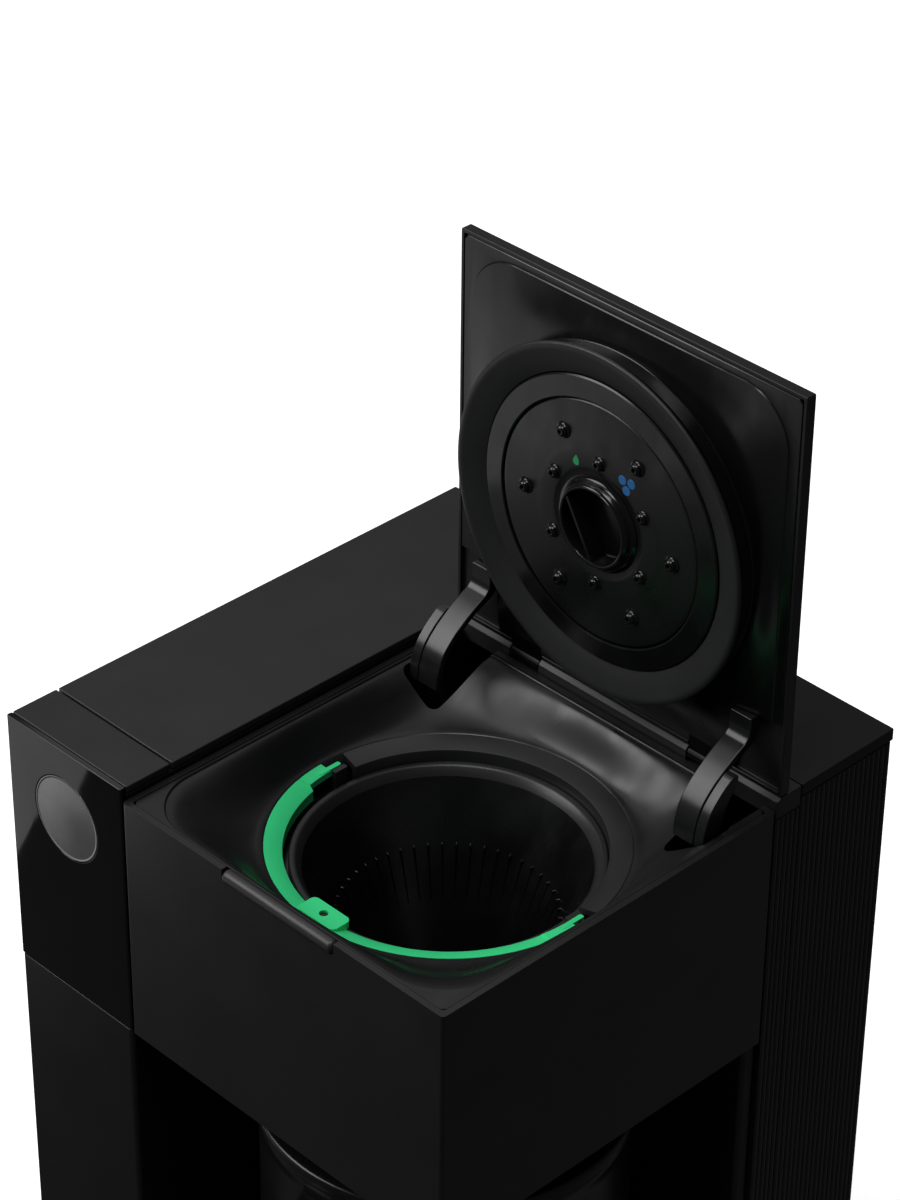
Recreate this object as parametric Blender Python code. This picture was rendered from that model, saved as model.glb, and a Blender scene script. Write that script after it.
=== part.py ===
"""Drip coffee maker: control column, brew head with a hinged lid, basket, carafe and water tank.

Run with: blender --background --python part.py

Frame: metres, +Z up, the front faces -Y, +X is to the right of someone facing it. The origin is on
the surface it stands on, under the centre of the whole footprint, carafe handle included.
The lid is modelled open and upright, and everything else is in place.
"""

import math

import bmesh
import bpy
from mathutils import Matrix, Vector

MM = 0.001

# ---------------------------------------------------------------- driving dimensions
WIDTH = 228.6 * MM  # housing, left to right
DEPTH = 228.0 * MM  # housing, front to back
HEIGHT = 305.0 * MM  # housing, with the lid closed
HANDLE_REACH = 28.0 * MM  # how far the carafe handle stands out past the housing's front

COLUMN_WIDTH = 64.2 * MM
TANK_DEPTH = 64.0 * MM  # from the head's back to the housing's back, hinge rail included
HEAD_HEIGHT = 110.5 * MM  # from the housing's top to the head's underside
SEAM_DROP = 110.2 * MM  # the glass front panel ends this far below the top
CAP_DEPTH = 24.0 * MM  # top cap in front of the long top cover
GAP = 0.3 * MM  # play between neighbouring pieces
WALL = 2.4 * MM
LID_THICKNESS = 4.9 * MM  # outer skin and the liner's rim together

BASE_TOP = 28.0 * MM
FOOT_HEIGHT = 4.0 * MM

OPENING_RADIUS = 66.4 * MM  # deck opening, at the foot of the dish
OPENING_DROP = 20.0 * MM  # the opening's edge below the housing's top
DISH_CORNER = 24.0 * MM
BASKET_RIM_RADIUS = 62.0 * MM
BASKET_RIM_DROP = 29.5 * MM
GASKET_INNER, GASKET_OUTER = 56.8 * MM, 69.2 * MM
SHOWER_RADIUS = 47.5 * MM
SELECTOR_RADIUS = 18.8 * MM
NOZZLE_RINGS = ((35.8 * MM, 0.0), (24.8 * MM, 30.0))  # six nozzles each: radius, first angle

CARAFE_RADIUS = 70.0 * MM
CARAFE_RIM_RADIUS = 72.4 * MM
CARAFE_TOP_DROP = 130.0 * MM

DIAL_RADIUS = 17.4 * MM
DIAL_DROP = 30.0 * MM
RIB_PITCH = 2.7 * MM
RIB_DEPTH = 0.7 * MM

# ---------------------------------------------------------------- places worked out from them
LEFT, RIGHT = -WIDTH / 2, WIDTH / 2
FRONT = -(DEPTH + HANDLE_REACH) / 2
BACK = FRONT + HANDLE_REACH + DEPTH
FRONT = FRONT + HANDLE_REACH
TOP = HEIGHT
COLUMN_RIGHT = LEFT + COLUMN_WIDTH
HEAD_LEFT = COLUMN_RIGHT + 0.6 * MM
HEAD_BACK = BACK - TANK_DEPTH
CX = (HEAD_LEFT + RIGHT) / 2  # the brew axis
CY = (FRONT + HEAD_BACK) / 2
HEAD_BOTTOM = TOP - HEAD_HEIGHT
RIM_Z = TOP - 5.0 * MM  # top edge of the head's walls
RAIL_FRONT = HEAD_BACK + 0.6 * MM
RAIL_BACK = RAIL_FRONT + 12.8 * MM
TANK_FRONT = RAIL_BACK + 0.4 * MM
HINGE_Y = HEAD_BACK + 3.35 * MM
HINGE_Z = TOP - 3.05 * MM
SEAM_Z = TOP - SEAM_DROP
DIAL_X = (LEFT + COLUMN_RIGHT) / 2
DIAL_Z = TOP - DIAL_DROP
ARM_INNER, ARM_OUTER = 60.0 * MM, 70.0 * MM  # hinge arm strip, distance from the brew axis in X
CHEEK_OUTER = 74.6 * MM

COLOURS = {
    "satin_black": ((0.030, 0.030, 0.032), 0.38),
    "top_satin": ((0.055, 0.055, 0.058), 0.45),
    "gloss_black": ((0.015, 0.015, 0.016), 0.12),
    "smoked": ((0.045, 0.045, 0.048), 0.15),
    "gasket": ((0.050, 0.050, 0.052), 0.70),
    "green": ((0.035, 0.58, 0.24), 0.45),
    "steel": ((0.62, 0.62, 0.63), 0.30),
    "cast_aluminium": ((0.62, 0.62, 0.63), 0.40),
    "board": ((0.02, 0.16, 0.07), 0.50),
    "white_silicone": ((0.75, 0.75, 0.73), 0.50),
    "rubber": ((0.02, 0.02, 0.02), 0.85),
}


# ---------------------------------------------------------------- helpers
def clear_scene():
    for obj in list(bpy.data.objects):
        bpy.data.objects.remove(obj, do_unlink=True)


def material(name):
    found = bpy.data.materials.get(name)
    if found:
        return found
    colour, roughness = COLOURS[name]
    found = bpy.data.materials.new(name)
    found.use_nodes = True
    shader = found.node_tree.nodes["Principled BSDF"]
    shader.inputs["Base Color"].default_value = (*colour, 1.0)
    shader.inputs["Roughness"].default_value = roughness
    return found


def publish(name, bm, colour, origin=(0, 0, 0)):
    """Makes the object from bm, whose points are in world metres, with its origin where asked."""
    bmesh.ops.recalc_face_normals(bm, faces=bm.faces)
    bmesh.ops.translate(bm, verts=bm.verts, vec=-Vector(origin))
    mesh = bpy.data.meshes.new(name)
    bm.to_mesh(mesh)
    bm.free()
    obj = bpy.data.objects.new(name, mesh)
    obj.location = origin
    bpy.context.scene.collection.objects.link(obj)
    if colour:
        mesh.materials.append(material(colour))
    return obj


def combine(target, bm, operation="DIFFERENCE"):
    """Cuts bm out of the target, or joins it on, with a Boolean. The tool is hidden."""
    tool = publish(f"{target.name}_tool_{len(target.modifiers)}", bm, None)
    tool.hide_render = True
    tool.display_type = "WIRE"
    step = target.modifiers.new("shape", "BOOLEAN")
    step.operation = operation
    step.solver = "EXACT"
    step.object = tool
    return target


def box_mesh(low, high):
    bm = bmesh.new()
    bmesh.ops.create_cube(bm, size=1.0)
    size = [b - a for a, b in zip(low, high)]
    middle = [(a + b) / 2 for a, b in zip(low, high)]
    bmesh.ops.transform(bm, matrix=Matrix.Diagonal((*size, 1.0)), verts=bm.verts)
    bmesh.ops.translate(bm, vec=middle, verts=bm.verts)
    return bm


def rounded_rectangle(x0, y0, x1, y1, radius, steps=4):
    """Corner points of a rectangle with round corners, anticlockwise."""
    points = []
    corners = ((x1, y0, -90), (x1, y1, 0), (x0, y1, 90), (x0, y0, 180))
    for x, y, start in corners:
        cx = x - math.copysign(radius, x - (x0 + x1) / 2)
        cy = y - math.copysign(radius, y - (y0 + y1) / 2)
        for i in range(steps + 1):
            angle = math.radians(start + 90 * i / steps)
            points.append((cx + radius * math.cos(angle), cy + radius * math.sin(angle)))
    return points


def prism_mesh(outline, axis, low, high):
    """The outline, in the plane across the axis (0, 1 or 2), run from low to high along it."""
    order = {0: (1, 2), 1: (0, 2), 2: (0, 1)}[axis]
    bm = bmesh.new()
    rings = []
    for along in (low, high):
        ring = []
        for point in outline:
            place = [along, along, along]
            place[order[0]], place[order[1]] = point
            ring.append(bm.verts.new(place))
        rings.append(ring)
    count = len(outline)
    for i in range(count):
        j = (i + 1) % count
        bm.faces.new((rings[0][i], rings[0][j], rings[1][j], rings[1][i]))
    bm.faces.new(rings[0])
    bm.faces.new(rings[1])
    return bm


def add_to(target, bm):
    """Puts bm's faces into the target mesh, beside what is there."""
    mesh = bpy.data.meshes.new("piece")
    bm.to_mesh(mesh)
    bm.free()
    target.from_mesh(mesh)
    bpy.data.meshes.remove(mesh)


def box_between(sign, across, along, low, high):
    """A box on the left or right of the brew axis: distances in X and Y are in mm from it."""
    sides = sorted(CX + sign * distance * MM for distance in across)
    return box_mesh((sides[0], CY + along[0] * MM, low), (sides[1], CY + along[1] * MM, high))


def slab_mesh(x0, y0, z0, x1, y1, z1, radius=2.0 * MM):
    return prism_mesh(rounded_rectangle(x0, y0, x1, y1, radius), 2, z0, z1)


def loft_mesh(sections, closed_section=True):
    """Faces between neighbouring sections, and from the last section to the first."""
    bm = bmesh.new()
    rows = [[bm.verts.new(point) for point in section] for section in sections]
    count, length = len(rows), len(rows[0])
    for i in range(count):
        a, b = rows[i], rows[(i + 1) % count]
        for k in range(length if closed_section else length - 1):
            m = (k + 1) % length
            bm.faces.new((a[k], a[m], b[m], b[k]))
    return bm


def lathe_mesh(profile, centre, axis=2, segments=48, start=0.0):
    """Turns a profile of (radius, height) about an axis. Radius 0 at both ends closes it."""
    solid = profile[0][0] == 0
    bm = bmesh.new()
    directions = {0: (1, 2), 1: (2, 0), 2: (0, 1)}[axis]

    def place(radius, height, angle):
        point = list(centre)
        point[axis] += height
        point[directions[0]] += radius * math.cos(angle)
        point[directions[1]] += radius * math.sin(angle)
        return point

    angles = [math.radians(start) + math.tau * i / segments for i in range(segments)]
    body = profile[1:-1] if solid else profile
    rows = [[bm.verts.new(place(r, h, angle)) for r, h in body] for angle in angles]
    ends = [bm.verts.new(place(0, profile[i][1], 0)) for i in (0, -1)] if solid else None
    for i in range(segments):
        a, b = rows[i], rows[(i + 1) % segments]
        for k in range(len(body) if not solid else len(body) - 1):
            m = (k + 1) % len(body)
            bm.faces.new((a[k], a[m], b[m], b[k]))
        if solid:
            bm.faces.new((ends[0], a[0], b[0]))
            bm.faces.new((ends[1], b[-1], a[-1]))
    return bm


def rod_mesh(radius, start, end, segments=20):
    """A round bar between two points that differ along one axis only."""
    axis = max(range(3), key=lambda k: abs(end[k] - start[k]))
    length = end[axis] - start[axis]
    profile = [(0, 0), (radius, 0), (radius, length), (0, length)]
    return lathe_mesh(profile, start, axis, segments)


def pipe_mesh(path, outer, inner, segments=12):
    """A hollow tube along a path, open at both ends."""
    points = [Vector(point) for point in path]
    frames = []
    side = None
    for i, point in enumerate(points):
        ahead = points[min(i + 1, len(points) - 1)] - points[max(i - 1, 0)]
        ahead.normalize()
        if side is None:
            side = ahead.orthogonal().normalized()
        side = (side - ahead * side.dot(ahead)).normalized()
        frames.append((point, side, ahead.cross(side)))
    rings = [(frames, outer), (list(reversed(frames)), inner)]
    sections = []
    for run, radius in rings:
        for point, u, v in run:
            ring = []
            for k in range(segments):
                angle = math.tau * k / segments
                ring.append(point + (u * math.cos(angle) + v * math.sin(angle)) * radius)
            sections.append(ring)
    return loft_mesh(sections)


def rounded_path(corners, radius, steps=4):
    """The corners joined by straight runs with round bends."""
    points = [Vector(corners[0])]
    for before, here, after in zip(corners, corners[1:], corners[2:]):
        here = Vector(here)
        arrive = (here - Vector(before)).normalized()
        leave = (Vector(after) - here).normalized()
        a, b = here - arrive * radius, here + leave * radius
        for i in range(steps + 1):
            t = i / steps
            points.append((1 - t) ** 2 * a + 2 * t * (1 - t) * here + t * t * b)
    points.append(Vector(corners[-1]))
    return points


def coil_mesh(centre, radius, wire, low, high, turns, steps=14, segments=6):
    """A compression spring round the vertical axis."""
    points = []
    for i in range(turns * steps + 1):
        t = i / (turns * steps)
        angle = math.tau * turns * t
        height = low + wire + (high - low - 2 * wire) * t
        points.append(
            Vector((centre[0] + radius * math.cos(angle), centre[1] + radius * math.sin(angle), height))
        )
    bm = bmesh.new()
    rings = []
    for i, point in enumerate(points):
        outward = Vector((point.x - centre[0], point.y - centre[1], 0)).normalized()
        up = Vector((0, 0, 1))
        ring = []
        for k in range(segments):
            angle = math.tau * k / segments
            offset = outward * math.cos(angle) + up * math.sin(angle)
            ring.append(bm.verts.new(point + offset * wire))
        rings.append(ring)
    for a, b in zip(rings, rings[1:]):
        for k in range(segments):
            m = (k + 1) % segments
            bm.faces.new((a[k], a[m], b[m], b[k]))
    bm.faces.new(rings[0])
    bm.faces.new(rings[-1])
    return bm


def open_lid(x, y, z):
    """Where a point of the closed lid is when the lid stands open, a quarter turn about the hinge."""
    return Vector((x, HINGE_Y + (z - HINGE_Z), HINGE_Z - (y - HINGE_Y)))


def square_reach(angle, half_x, half_y, corner):
    """Distance from the centre to a rounded rectangle's edge, in the direction of the angle."""
    c, s = abs(math.cos(angle)), abs(math.sin(angle))
    reach = min(half_x / c if c > 1e-9 else 1e9, half_y / s if s > 1e-9 else 1e9)
    px, py = reach * c, reach * s
    kx, ky = half_x - corner, half_y - corner
    if px > kx and py > ky:
        along = kx * c + ky * s
        across = kx * kx + ky * ky - along * along
        reach = along + math.sqrt(max(corner * corner - across, 0))
    return reach


def fair_angles(count):
    """Directions round the brew axis, half a step off the axes so that no point lies on a corner."""
    return [math.tau * (i + 0.5) / count for i in range(count)]


# ---------------------------------------------------------------- base
def make_base():
    shell = publish(
        "base_shell",
        slab_mesh(LEFT, FRONT, FOOT_HEIGHT, RIGHT, BACK, BASE_TOP, 4 * MM),
        "satin_black",
    )
    inner = slab_mesh(
        LEFT + WALL, FRONT + WALL, FOOT_HEIGHT - MM, RIGHT - WALL, BACK - WALL, BASE_TOP - 3.4 * MM
    )
    combine(shell, inner)
    pad_floor = BASE_TOP - 1.6 * MM
    recess = rod_mesh(74 * MM, (CX, CY, pad_floor), (CX, CY, BASE_TOP + MM), 48)
    combine(shell, recess)
    socket_hole = rod_mesh(10.4 * MM, (CX, TANK_Y, 20 * MM), (CX, TANK_Y, BASE_TOP + MM), 24)
    combine(shell, socket_hole)
    hose_hole = rod_mesh(5 * MM, (DIAL_X, PUMP_Y, 20 * MM), (DIAL_X, PUMP_Y, BASE_TOP + MM), 16)
    combine(shell, hose_hole)

    plate = slab_mesh(
        LEFT + WALL + GAP,
        FRONT + WALL + GAP,
        FOOT_HEIGHT + GAP,
        RIGHT - WALL - GAP,
        BACK - WALL - GAP,
        FOOT_HEIGHT + GAP + 2 * MM,
    )
    publish("bottom_plate", plate, "satin_black")

    for name, x, y in (
        ("foot_front_left", LEFT + 20 * MM, FRONT + 20 * MM),
        ("foot_front_right", RIGHT - 20 * MM, FRONT + 20 * MM),
        ("foot_rear_left", LEFT + 20 * MM, BACK - 20 * MM),
        ("foot_rear_right", RIGHT - 20 * MM, BACK - 20 * MM),
    ):
        profile = [(0, 0), (7.5 * MM, 0), (9 * MM, MM), (9 * MM, FOOT_HEIGHT), (0, FOOT_HEIGHT)]
        publish(name, lathe_mesh(profile, (x, y, 0), 2, 24), "rubber")

    top = BASE_TOP + 0.8 * MM
    profile = [(0, pad_floor + GAP), (73.6 * MM, pad_floor + GAP), (73.6 * MM, top - 0.5 * MM)]
    profile += [(73.0 * MM, top), (0, top)]
    publish("carafe_pad", lathe_mesh(profile, (CX, CY, 0), 2, 48), "rubber")


# ---------------------------------------------------------------- control column
GLASS = 2.6 * MM
COVER = 3.0 * MM
PUMP_Y = BACK - 56 * MM
TANK_Y = (TANK_FRONT + BACK) / 2
BOARD_Y = FRONT + 9.6 * MM
RISER_Y = RAIL_FRONT + 6.4 * MM


def make_column():
    low, high = BASE_TOP + GAP, TOP - COVER - GAP
    shell = publish(
        "column_shell",
        slab_mesh(LEFT, FRONT, low, COLUMN_RIGHT, BACK, high, 2 * MM),
        "satin_black",
    )
    combine(
        shell,
        slab_mesh(
            LEFT + WALL,
            FRONT + GLASS + GAP + WALL,
            low + WALL,
            COLUMN_RIGHT - WALL,
            BACK - WALL,
            TOP,
            1.5 * MM,
        ),
    )
    combine(
        shell,
        box_mesh(
            (LEFT - MM, FRONT - MM, SEAM_Z - GAP), (COLUMN_RIGHT + MM, FRONT + GLASS + GAP, TOP)
        ),
    )
    window = box_mesh(
        (LEFT + 9 * MM, FRONT, SEAM_Z + 10 * MM),
        (COLUMN_RIGHT - 9 * MM, FRONT + 8 * MM, TOP - 9 * MM),
    )
    combine(shell, window)
    port = rod_mesh(
        5 * MM,
        (COLUMN_RIGHT - 6 * MM, RISER_Y, RISER_Z),
        (COLUMN_RIGHT + 4 * MM, RISER_Y, RISER_Z),
        16,
    )
    combine(shell, port)
    combine(shell, rod_mesh(5 * MM, (DIAL_X, PUMP_Y, 20 * MM), (DIAL_X, PUMP_Y, 34 * MM), 16))
    combine(shell, rod_mesh(6 * MM, (DIAL_X, BACK - 6 * MM, 48 * MM), (DIAL_X, BACK + MM, 48 * MM), 20))

    glass = publish(
        "front_panel_glass",
        slab_mesh(LEFT, FRONT, SEAM_Z + GAP, COLUMN_RIGHT, FRONT + GLASS, TOP, 0.8 * MM),
        "gloss_black",
    )
    hole = rod_mesh(
        DIAL_RADIUS + 0.35 * MM, (DIAL_X, FRONT - MM, DIAL_Z), (DIAL_X, FRONT + 4 * MM, DIAL_Z), 40
    )
    combine(glass, hole)

    cap_back = FRONT + CAP_DEPTH
    publish(
        "column_top_cap",
        slab_mesh(LEFT, FRONT + GLASS + GAP, TOP - COVER, COLUMN_RIGHT, cap_back - GAP, TOP, 0.8 * MM),
        "top_satin",
    )
    publish(
        "column_top_cover",
        slab_mesh(LEFT, cap_back, TOP - COVER, COLUMN_RIGHT, BACK, TOP, 0.8 * MM),
        "top_satin",
    )
    gland = [(3 * MM, -6 * MM), (5.6 * MM, -6 * MM), (5.6 * MM, 0), (3 * MM, 0)]
    publish("cord_gland", lathe_mesh(gland, (DIAL_X, BACK, 48 * MM), 1, 20), "rubber")


def make_controls():
    board = publish(
        "control_board",
        box_mesh(
            (LEFT + 7 * MM, BOARD_Y, SEAM_Z + 12 * MM),
            (COLUMN_RIGHT - 7 * MM, BOARD_Y + 1.6 * MM, TOP - 11 * MM),
        ),
        "board",
    )
    hole = rod_mesh(4 * MM, (DIAL_X, BOARD_Y - MM, DIAL_Z), (DIAL_X, BOARD_Y + 3 * MM, DIAL_Z), 16)
    combine(board, hole)
    display_top = SEAM_Z + 54 * MM
    publish(
        "display_module",
        box_mesh(
            (LEFT + 11 * MM, FRONT + GLASS + GAP, SEAM_Z + 16 * MM),
            (COLUMN_RIGHT - 11 * MM, BOARD_Y - GAP, display_top),
        ),
        "gloss_black",
    )
    encoder = publish(
        "encoder_body",
        box_mesh(
            (DIAL_X - 7 * MM, BOARD_Y - 3.3 * MM, DIAL_Z - 7 * MM),
            (DIAL_X + 7 * MM, BOARD_Y - GAP, DIAL_Z + 7 * MM),
        ),
        "steel",
    )
    bore = rod_mesh(3.09 * MM, (DIAL_X, BOARD_Y - 6 * MM, DIAL_Z), (DIAL_X, BOARD_Y + MM, DIAL_Z), 24)
    combine(encoder, bore)
    dial_back = FRONT + 3 * MM
    shaft_start = (DIAL_X, dial_back - 1.2 * MM, DIAL_Z)
    shaft = rod_mesh(3.0 * MM, shaft_start, (DIAL_X, BOARD_Y + 1.2 * MM, DIAL_Z), 24)
    publish("dial_shaft", shaft, "steel", shaft_start)
    dial_profile = [
        (0, 0),
        (DIAL_RADIUS - 0.5 * MM, 0),
        (DIAL_RADIUS, 0.4 * MM),
        (DIAL_RADIUS, 3 * MM),
        (3.1 * MM, 3 * MM),
        (3.1 * MM, 1.6 * MM),
        (0, 1.6 * MM),
    ]
    centre = (DIAL_X, FRONT, DIAL_Z)
    publish("control_dial", lathe_mesh(dial_profile, centre, 1, 40), "gloss_black", centre)

    parts = [(12, 0), (12, 4), (34, 4), (34, 18), (52, 18), (52, 3), (66, 3), (66, 12), (84, 12), (84, 0)]
    outline = [(0, 0), (0, -1.6), (100, -1.6), (100, 0)] + list(reversed(parts))
    plate = [(LEFT + 6 * MM + x * MM, FRONT + 26 * MM + y * MM) for y, x in outline]
    publish("power_board", prism_mesh(plate, 2, 60 * MM, 130 * MM), "board")


RISER_Z = TOP - 50 * MM
HEATER_LOW, HEATER_HIGH = 110 * MM, 200 * MM


def make_water_path():
    pump = publish(
        "water_pump",
        slab_mesh(
            DIAL_X - 20 * MM,
            PUMP_Y - 16 * MM,
            46 * MM,
            DIAL_X + 20 * MM,
            PUMP_Y + 16 * MM,
            90 * MM,
            6 * MM,
        ),
        "cast_aluminium",
    )
    combine(pump, rod_mesh(3.4 * MM, (DIAL_X, PUMP_Y, 40 * MM), (DIAL_X, PUMP_Y, 52 * MM), 16))
    combine(pump, rod_mesh(3.4 * MM, (DIAL_X, PUMP_Y, 84 * MM), (DIAL_X, PUMP_Y, 92 * MM), 16))

    tall = HEATER_HIGH - HEATER_LOW
    profile = [(3.4 * MM, 0), (16 * MM, 0), (17 * MM, MM), (17 * MM, tall - MM), (16 * MM, tall)]
    profile += [(3.4 * MM, tall)]
    publish("flow_heater", lathe_mesh(profile, (DIAL_X, PUMP_Y, HEATER_LOW), 2, 28), "cast_aluminium")
    inlet = rounded_path(
        (
            (CX, TANK_Y, 22 * MM),
            (CX, TANK_Y, 11.5 * MM),
            (DIAL_X, PUMP_Y, 11.5 * MM),
            (DIAL_X, PUMP_Y, 51 * MM),
        ),
        5 * MM,
    )
    publish("inlet_tube", pipe_mesh(inlet, 3.2 * MM, 2.0 * MM, 8), "white_silicone")
    pump_run = ((DIAL_X, PUMP_Y, 85 * MM), (DIAL_X, PUMP_Y, 100 * MM), (DIAL_X, PUMP_Y, 118 * MM))
    publish("pump_tube", pipe_mesh(pump_run, 3.2 * MM, 2.0 * MM), "white_silicone")
    riser = rounded_path(
        (
            (DIAL_X, PUMP_Y, HEATER_HIGH - 8 * MM),
            (DIAL_X, PUMP_Y, RISER_Z - 20 * MM),
            (DIAL_X, RISER_Y, RISER_Z),
            (CX, RISER_Y, RISER_Z),
            (CX, RISER_Y, TOP - 13 * MM),
        ),
        9 * MM,
    )
    publish("riser_tube", pipe_mesh(riser, 3.2 * MM, 2.0 * MM, 8), "white_silicone")


# ---------------------------------------------------------------- brew head
NOTCH_HALF = 28.5 * MM
NOTCH_DROP = 5.4 * MM
HEAD_WALL = 2.5 * MM
DECK_EDGE = HEAD_WALL + 0.3 * MM
LIP_RADIUS = 2.3 * MM
POCKET = (ARM_INNER - 2.2 * MM, CHEEK_OUTER + 1.6 * MM)  # in X from the brew axis
POCKET_FRONT = HEAD_BACK - 34.0 * MM
WELL_HEIGHT = 40 * MM


def mirrored(inner, outer):
    """The stretch between two distances from the brew axis, on the left and on the right."""
    return ((CX - outer, CX - inner), (CX + inner, CX + outer))


def make_head():
    shell = publish(
        "head_shell",
        slab_mesh(HEAD_LEFT, FRONT, HEAD_BOTTOM, RIGHT, HEAD_BACK, RIM_Z, 2 * MM),
        "satin_black",
    )
    inner = slab_mesh(
        HEAD_LEFT + HEAD_WALL,
        FRONT + HEAD_WALL,
        HEAD_BOTTOM - MM,
        RIGHT - HEAD_WALL,
        HEAD_BACK - HEAD_WALL,
        RIM_Z + MM,
        1.5 * MM,
    )
    combine(shell, inner)
    notch = box_mesh(
        (CX - NOTCH_HALF, FRONT - MM, RIM_Z - NOTCH_DROP),
        (CX + NOTCH_HALF, FRONT + HEAD_WALL + MM, RIM_Z + MM),
    )
    combine(shell, notch)
    for x0, x1 in mirrored(*POCKET):
        well = box_mesh(
            (x0, HEAD_BACK - HEAD_WALL - MM, RIM_Z - WELL_HEIGHT), (x1, HEAD_BACK + MM, RIM_Z + MM)
        )
        combine(shell, well)

    floor = publish(
        "head_floor",
        slab_mesh(
            HEAD_LEFT + HEAD_WALL + GAP,
            FRONT + HEAD_WALL + GAP,
            HEAD_BOTTOM + 0.6 * MM,
            RIGHT - HEAD_WALL - GAP,
            HEAD_BACK - HEAD_WALL - GAP,
            HEAD_BOTTOM + 3.2 * MM,
        ),
        "satin_black",
    )
    outlet = rod_mesh(15 * MM, (CX, CY, HEAD_BOTTOM - MM), (CX, CY, HEAD_BOTTOM + 5 * MM), 32)
    combine(floor, outlet)


def make_deck():
    """The glossy tray: a flat rim, a soft dish down to the round opening, a well and a ledge."""
    half_x = (RIGHT - HEAD_LEFT) / 2 - DECK_EDGE
    half_y = (HEAD_BACK - FRONT) / 2 - DECK_EDGE
    top, edge = RIM_Z - 0.2 * MM, TOP - OPENING_DROP
    thick = 2.0 * MM
    sections = []
    for angle in fair_angles(44):
        outer = square_reach(angle, half_x, half_y, 1.5 * MM)
        rim = square_reach(angle, half_x - 1.2 * MM, half_y - 1.2 * MM, DISH_CORNER)

        def at(radius, height):
            return (CX + radius * math.cos(angle), CY + radius * math.sin(angle), height)

        run = rim - OPENING_RADIUS
        upper = []
        for t in (1.0, 0.75, 0.5, 0.25):
            ease = t * t * (3 - 2 * t)
            upper.append((OPENING_RADIUS + run * t, edge + (top - 0.8 * MM - edge) * ease))
        section = [at(outer, top)]
        section += [at(r, z) for r, z in upper]
        section += [at(OPENING_RADIUS, edge), at(63.6 * MM, edge - 3.0 * MM)]
        section += [at(63.6 * MM, edge - 12.2 * MM), at(59.2 * MM, edge - 12.6 * MM)]
        section += [at(59.2 * MM, edge - 14.6 * MM), at(65.6 * MM, edge - 14.6 * MM)]
        section += [at(65.6 * MM, edge - 3.8 * MM)]
        section += [at(r + 0.6 * thick, z - thick) for r, z in reversed(upper[1:])]
        section += [at(outer, top - thick - 1.2 * MM)]
        sections.append(section)
    deck = publish("brew_deck", loft_mesh(sections), "gloss_black")
    lip_y, lip_z = FRONT + DECK_EDGE + 0.3 * MM, top - LIP_RADIUS
    reach = NOTCH_HALF - 0.4 * MM
    lip = rod_mesh(LIP_RADIUS, (CX - reach, lip_y, lip_z), (CX + reach, lip_y, lip_z), 16)
    combine(deck, lip, "UNION")
    for x0, x1 in mirrored(*POCKET):
        pocket = slab_mesh(x0, POCKET_FRONT, RIM_Z - 30 * MM, x1, HEAD_BACK + 4 * MM, TOP, 3 * MM)
        combine(deck, pocket)


def ribbed_side(x, y0, y1, outward, thickness):
    """Outline of a wall along Y with fine ribs on its outer face."""
    count = round((y1 - y0) / RIB_PITCH)
    step = (y1 - y0) / count
    points = []
    for i in range(count):
        y = y0 + i * step
        points.append((x - outward * RIB_DEPTH, y))
        points.append((x, y + 0.3 * step))
        points.append((x, y + 0.7 * step))
    points.append((x - outward * RIB_DEPTH, y1))
    return points


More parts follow.
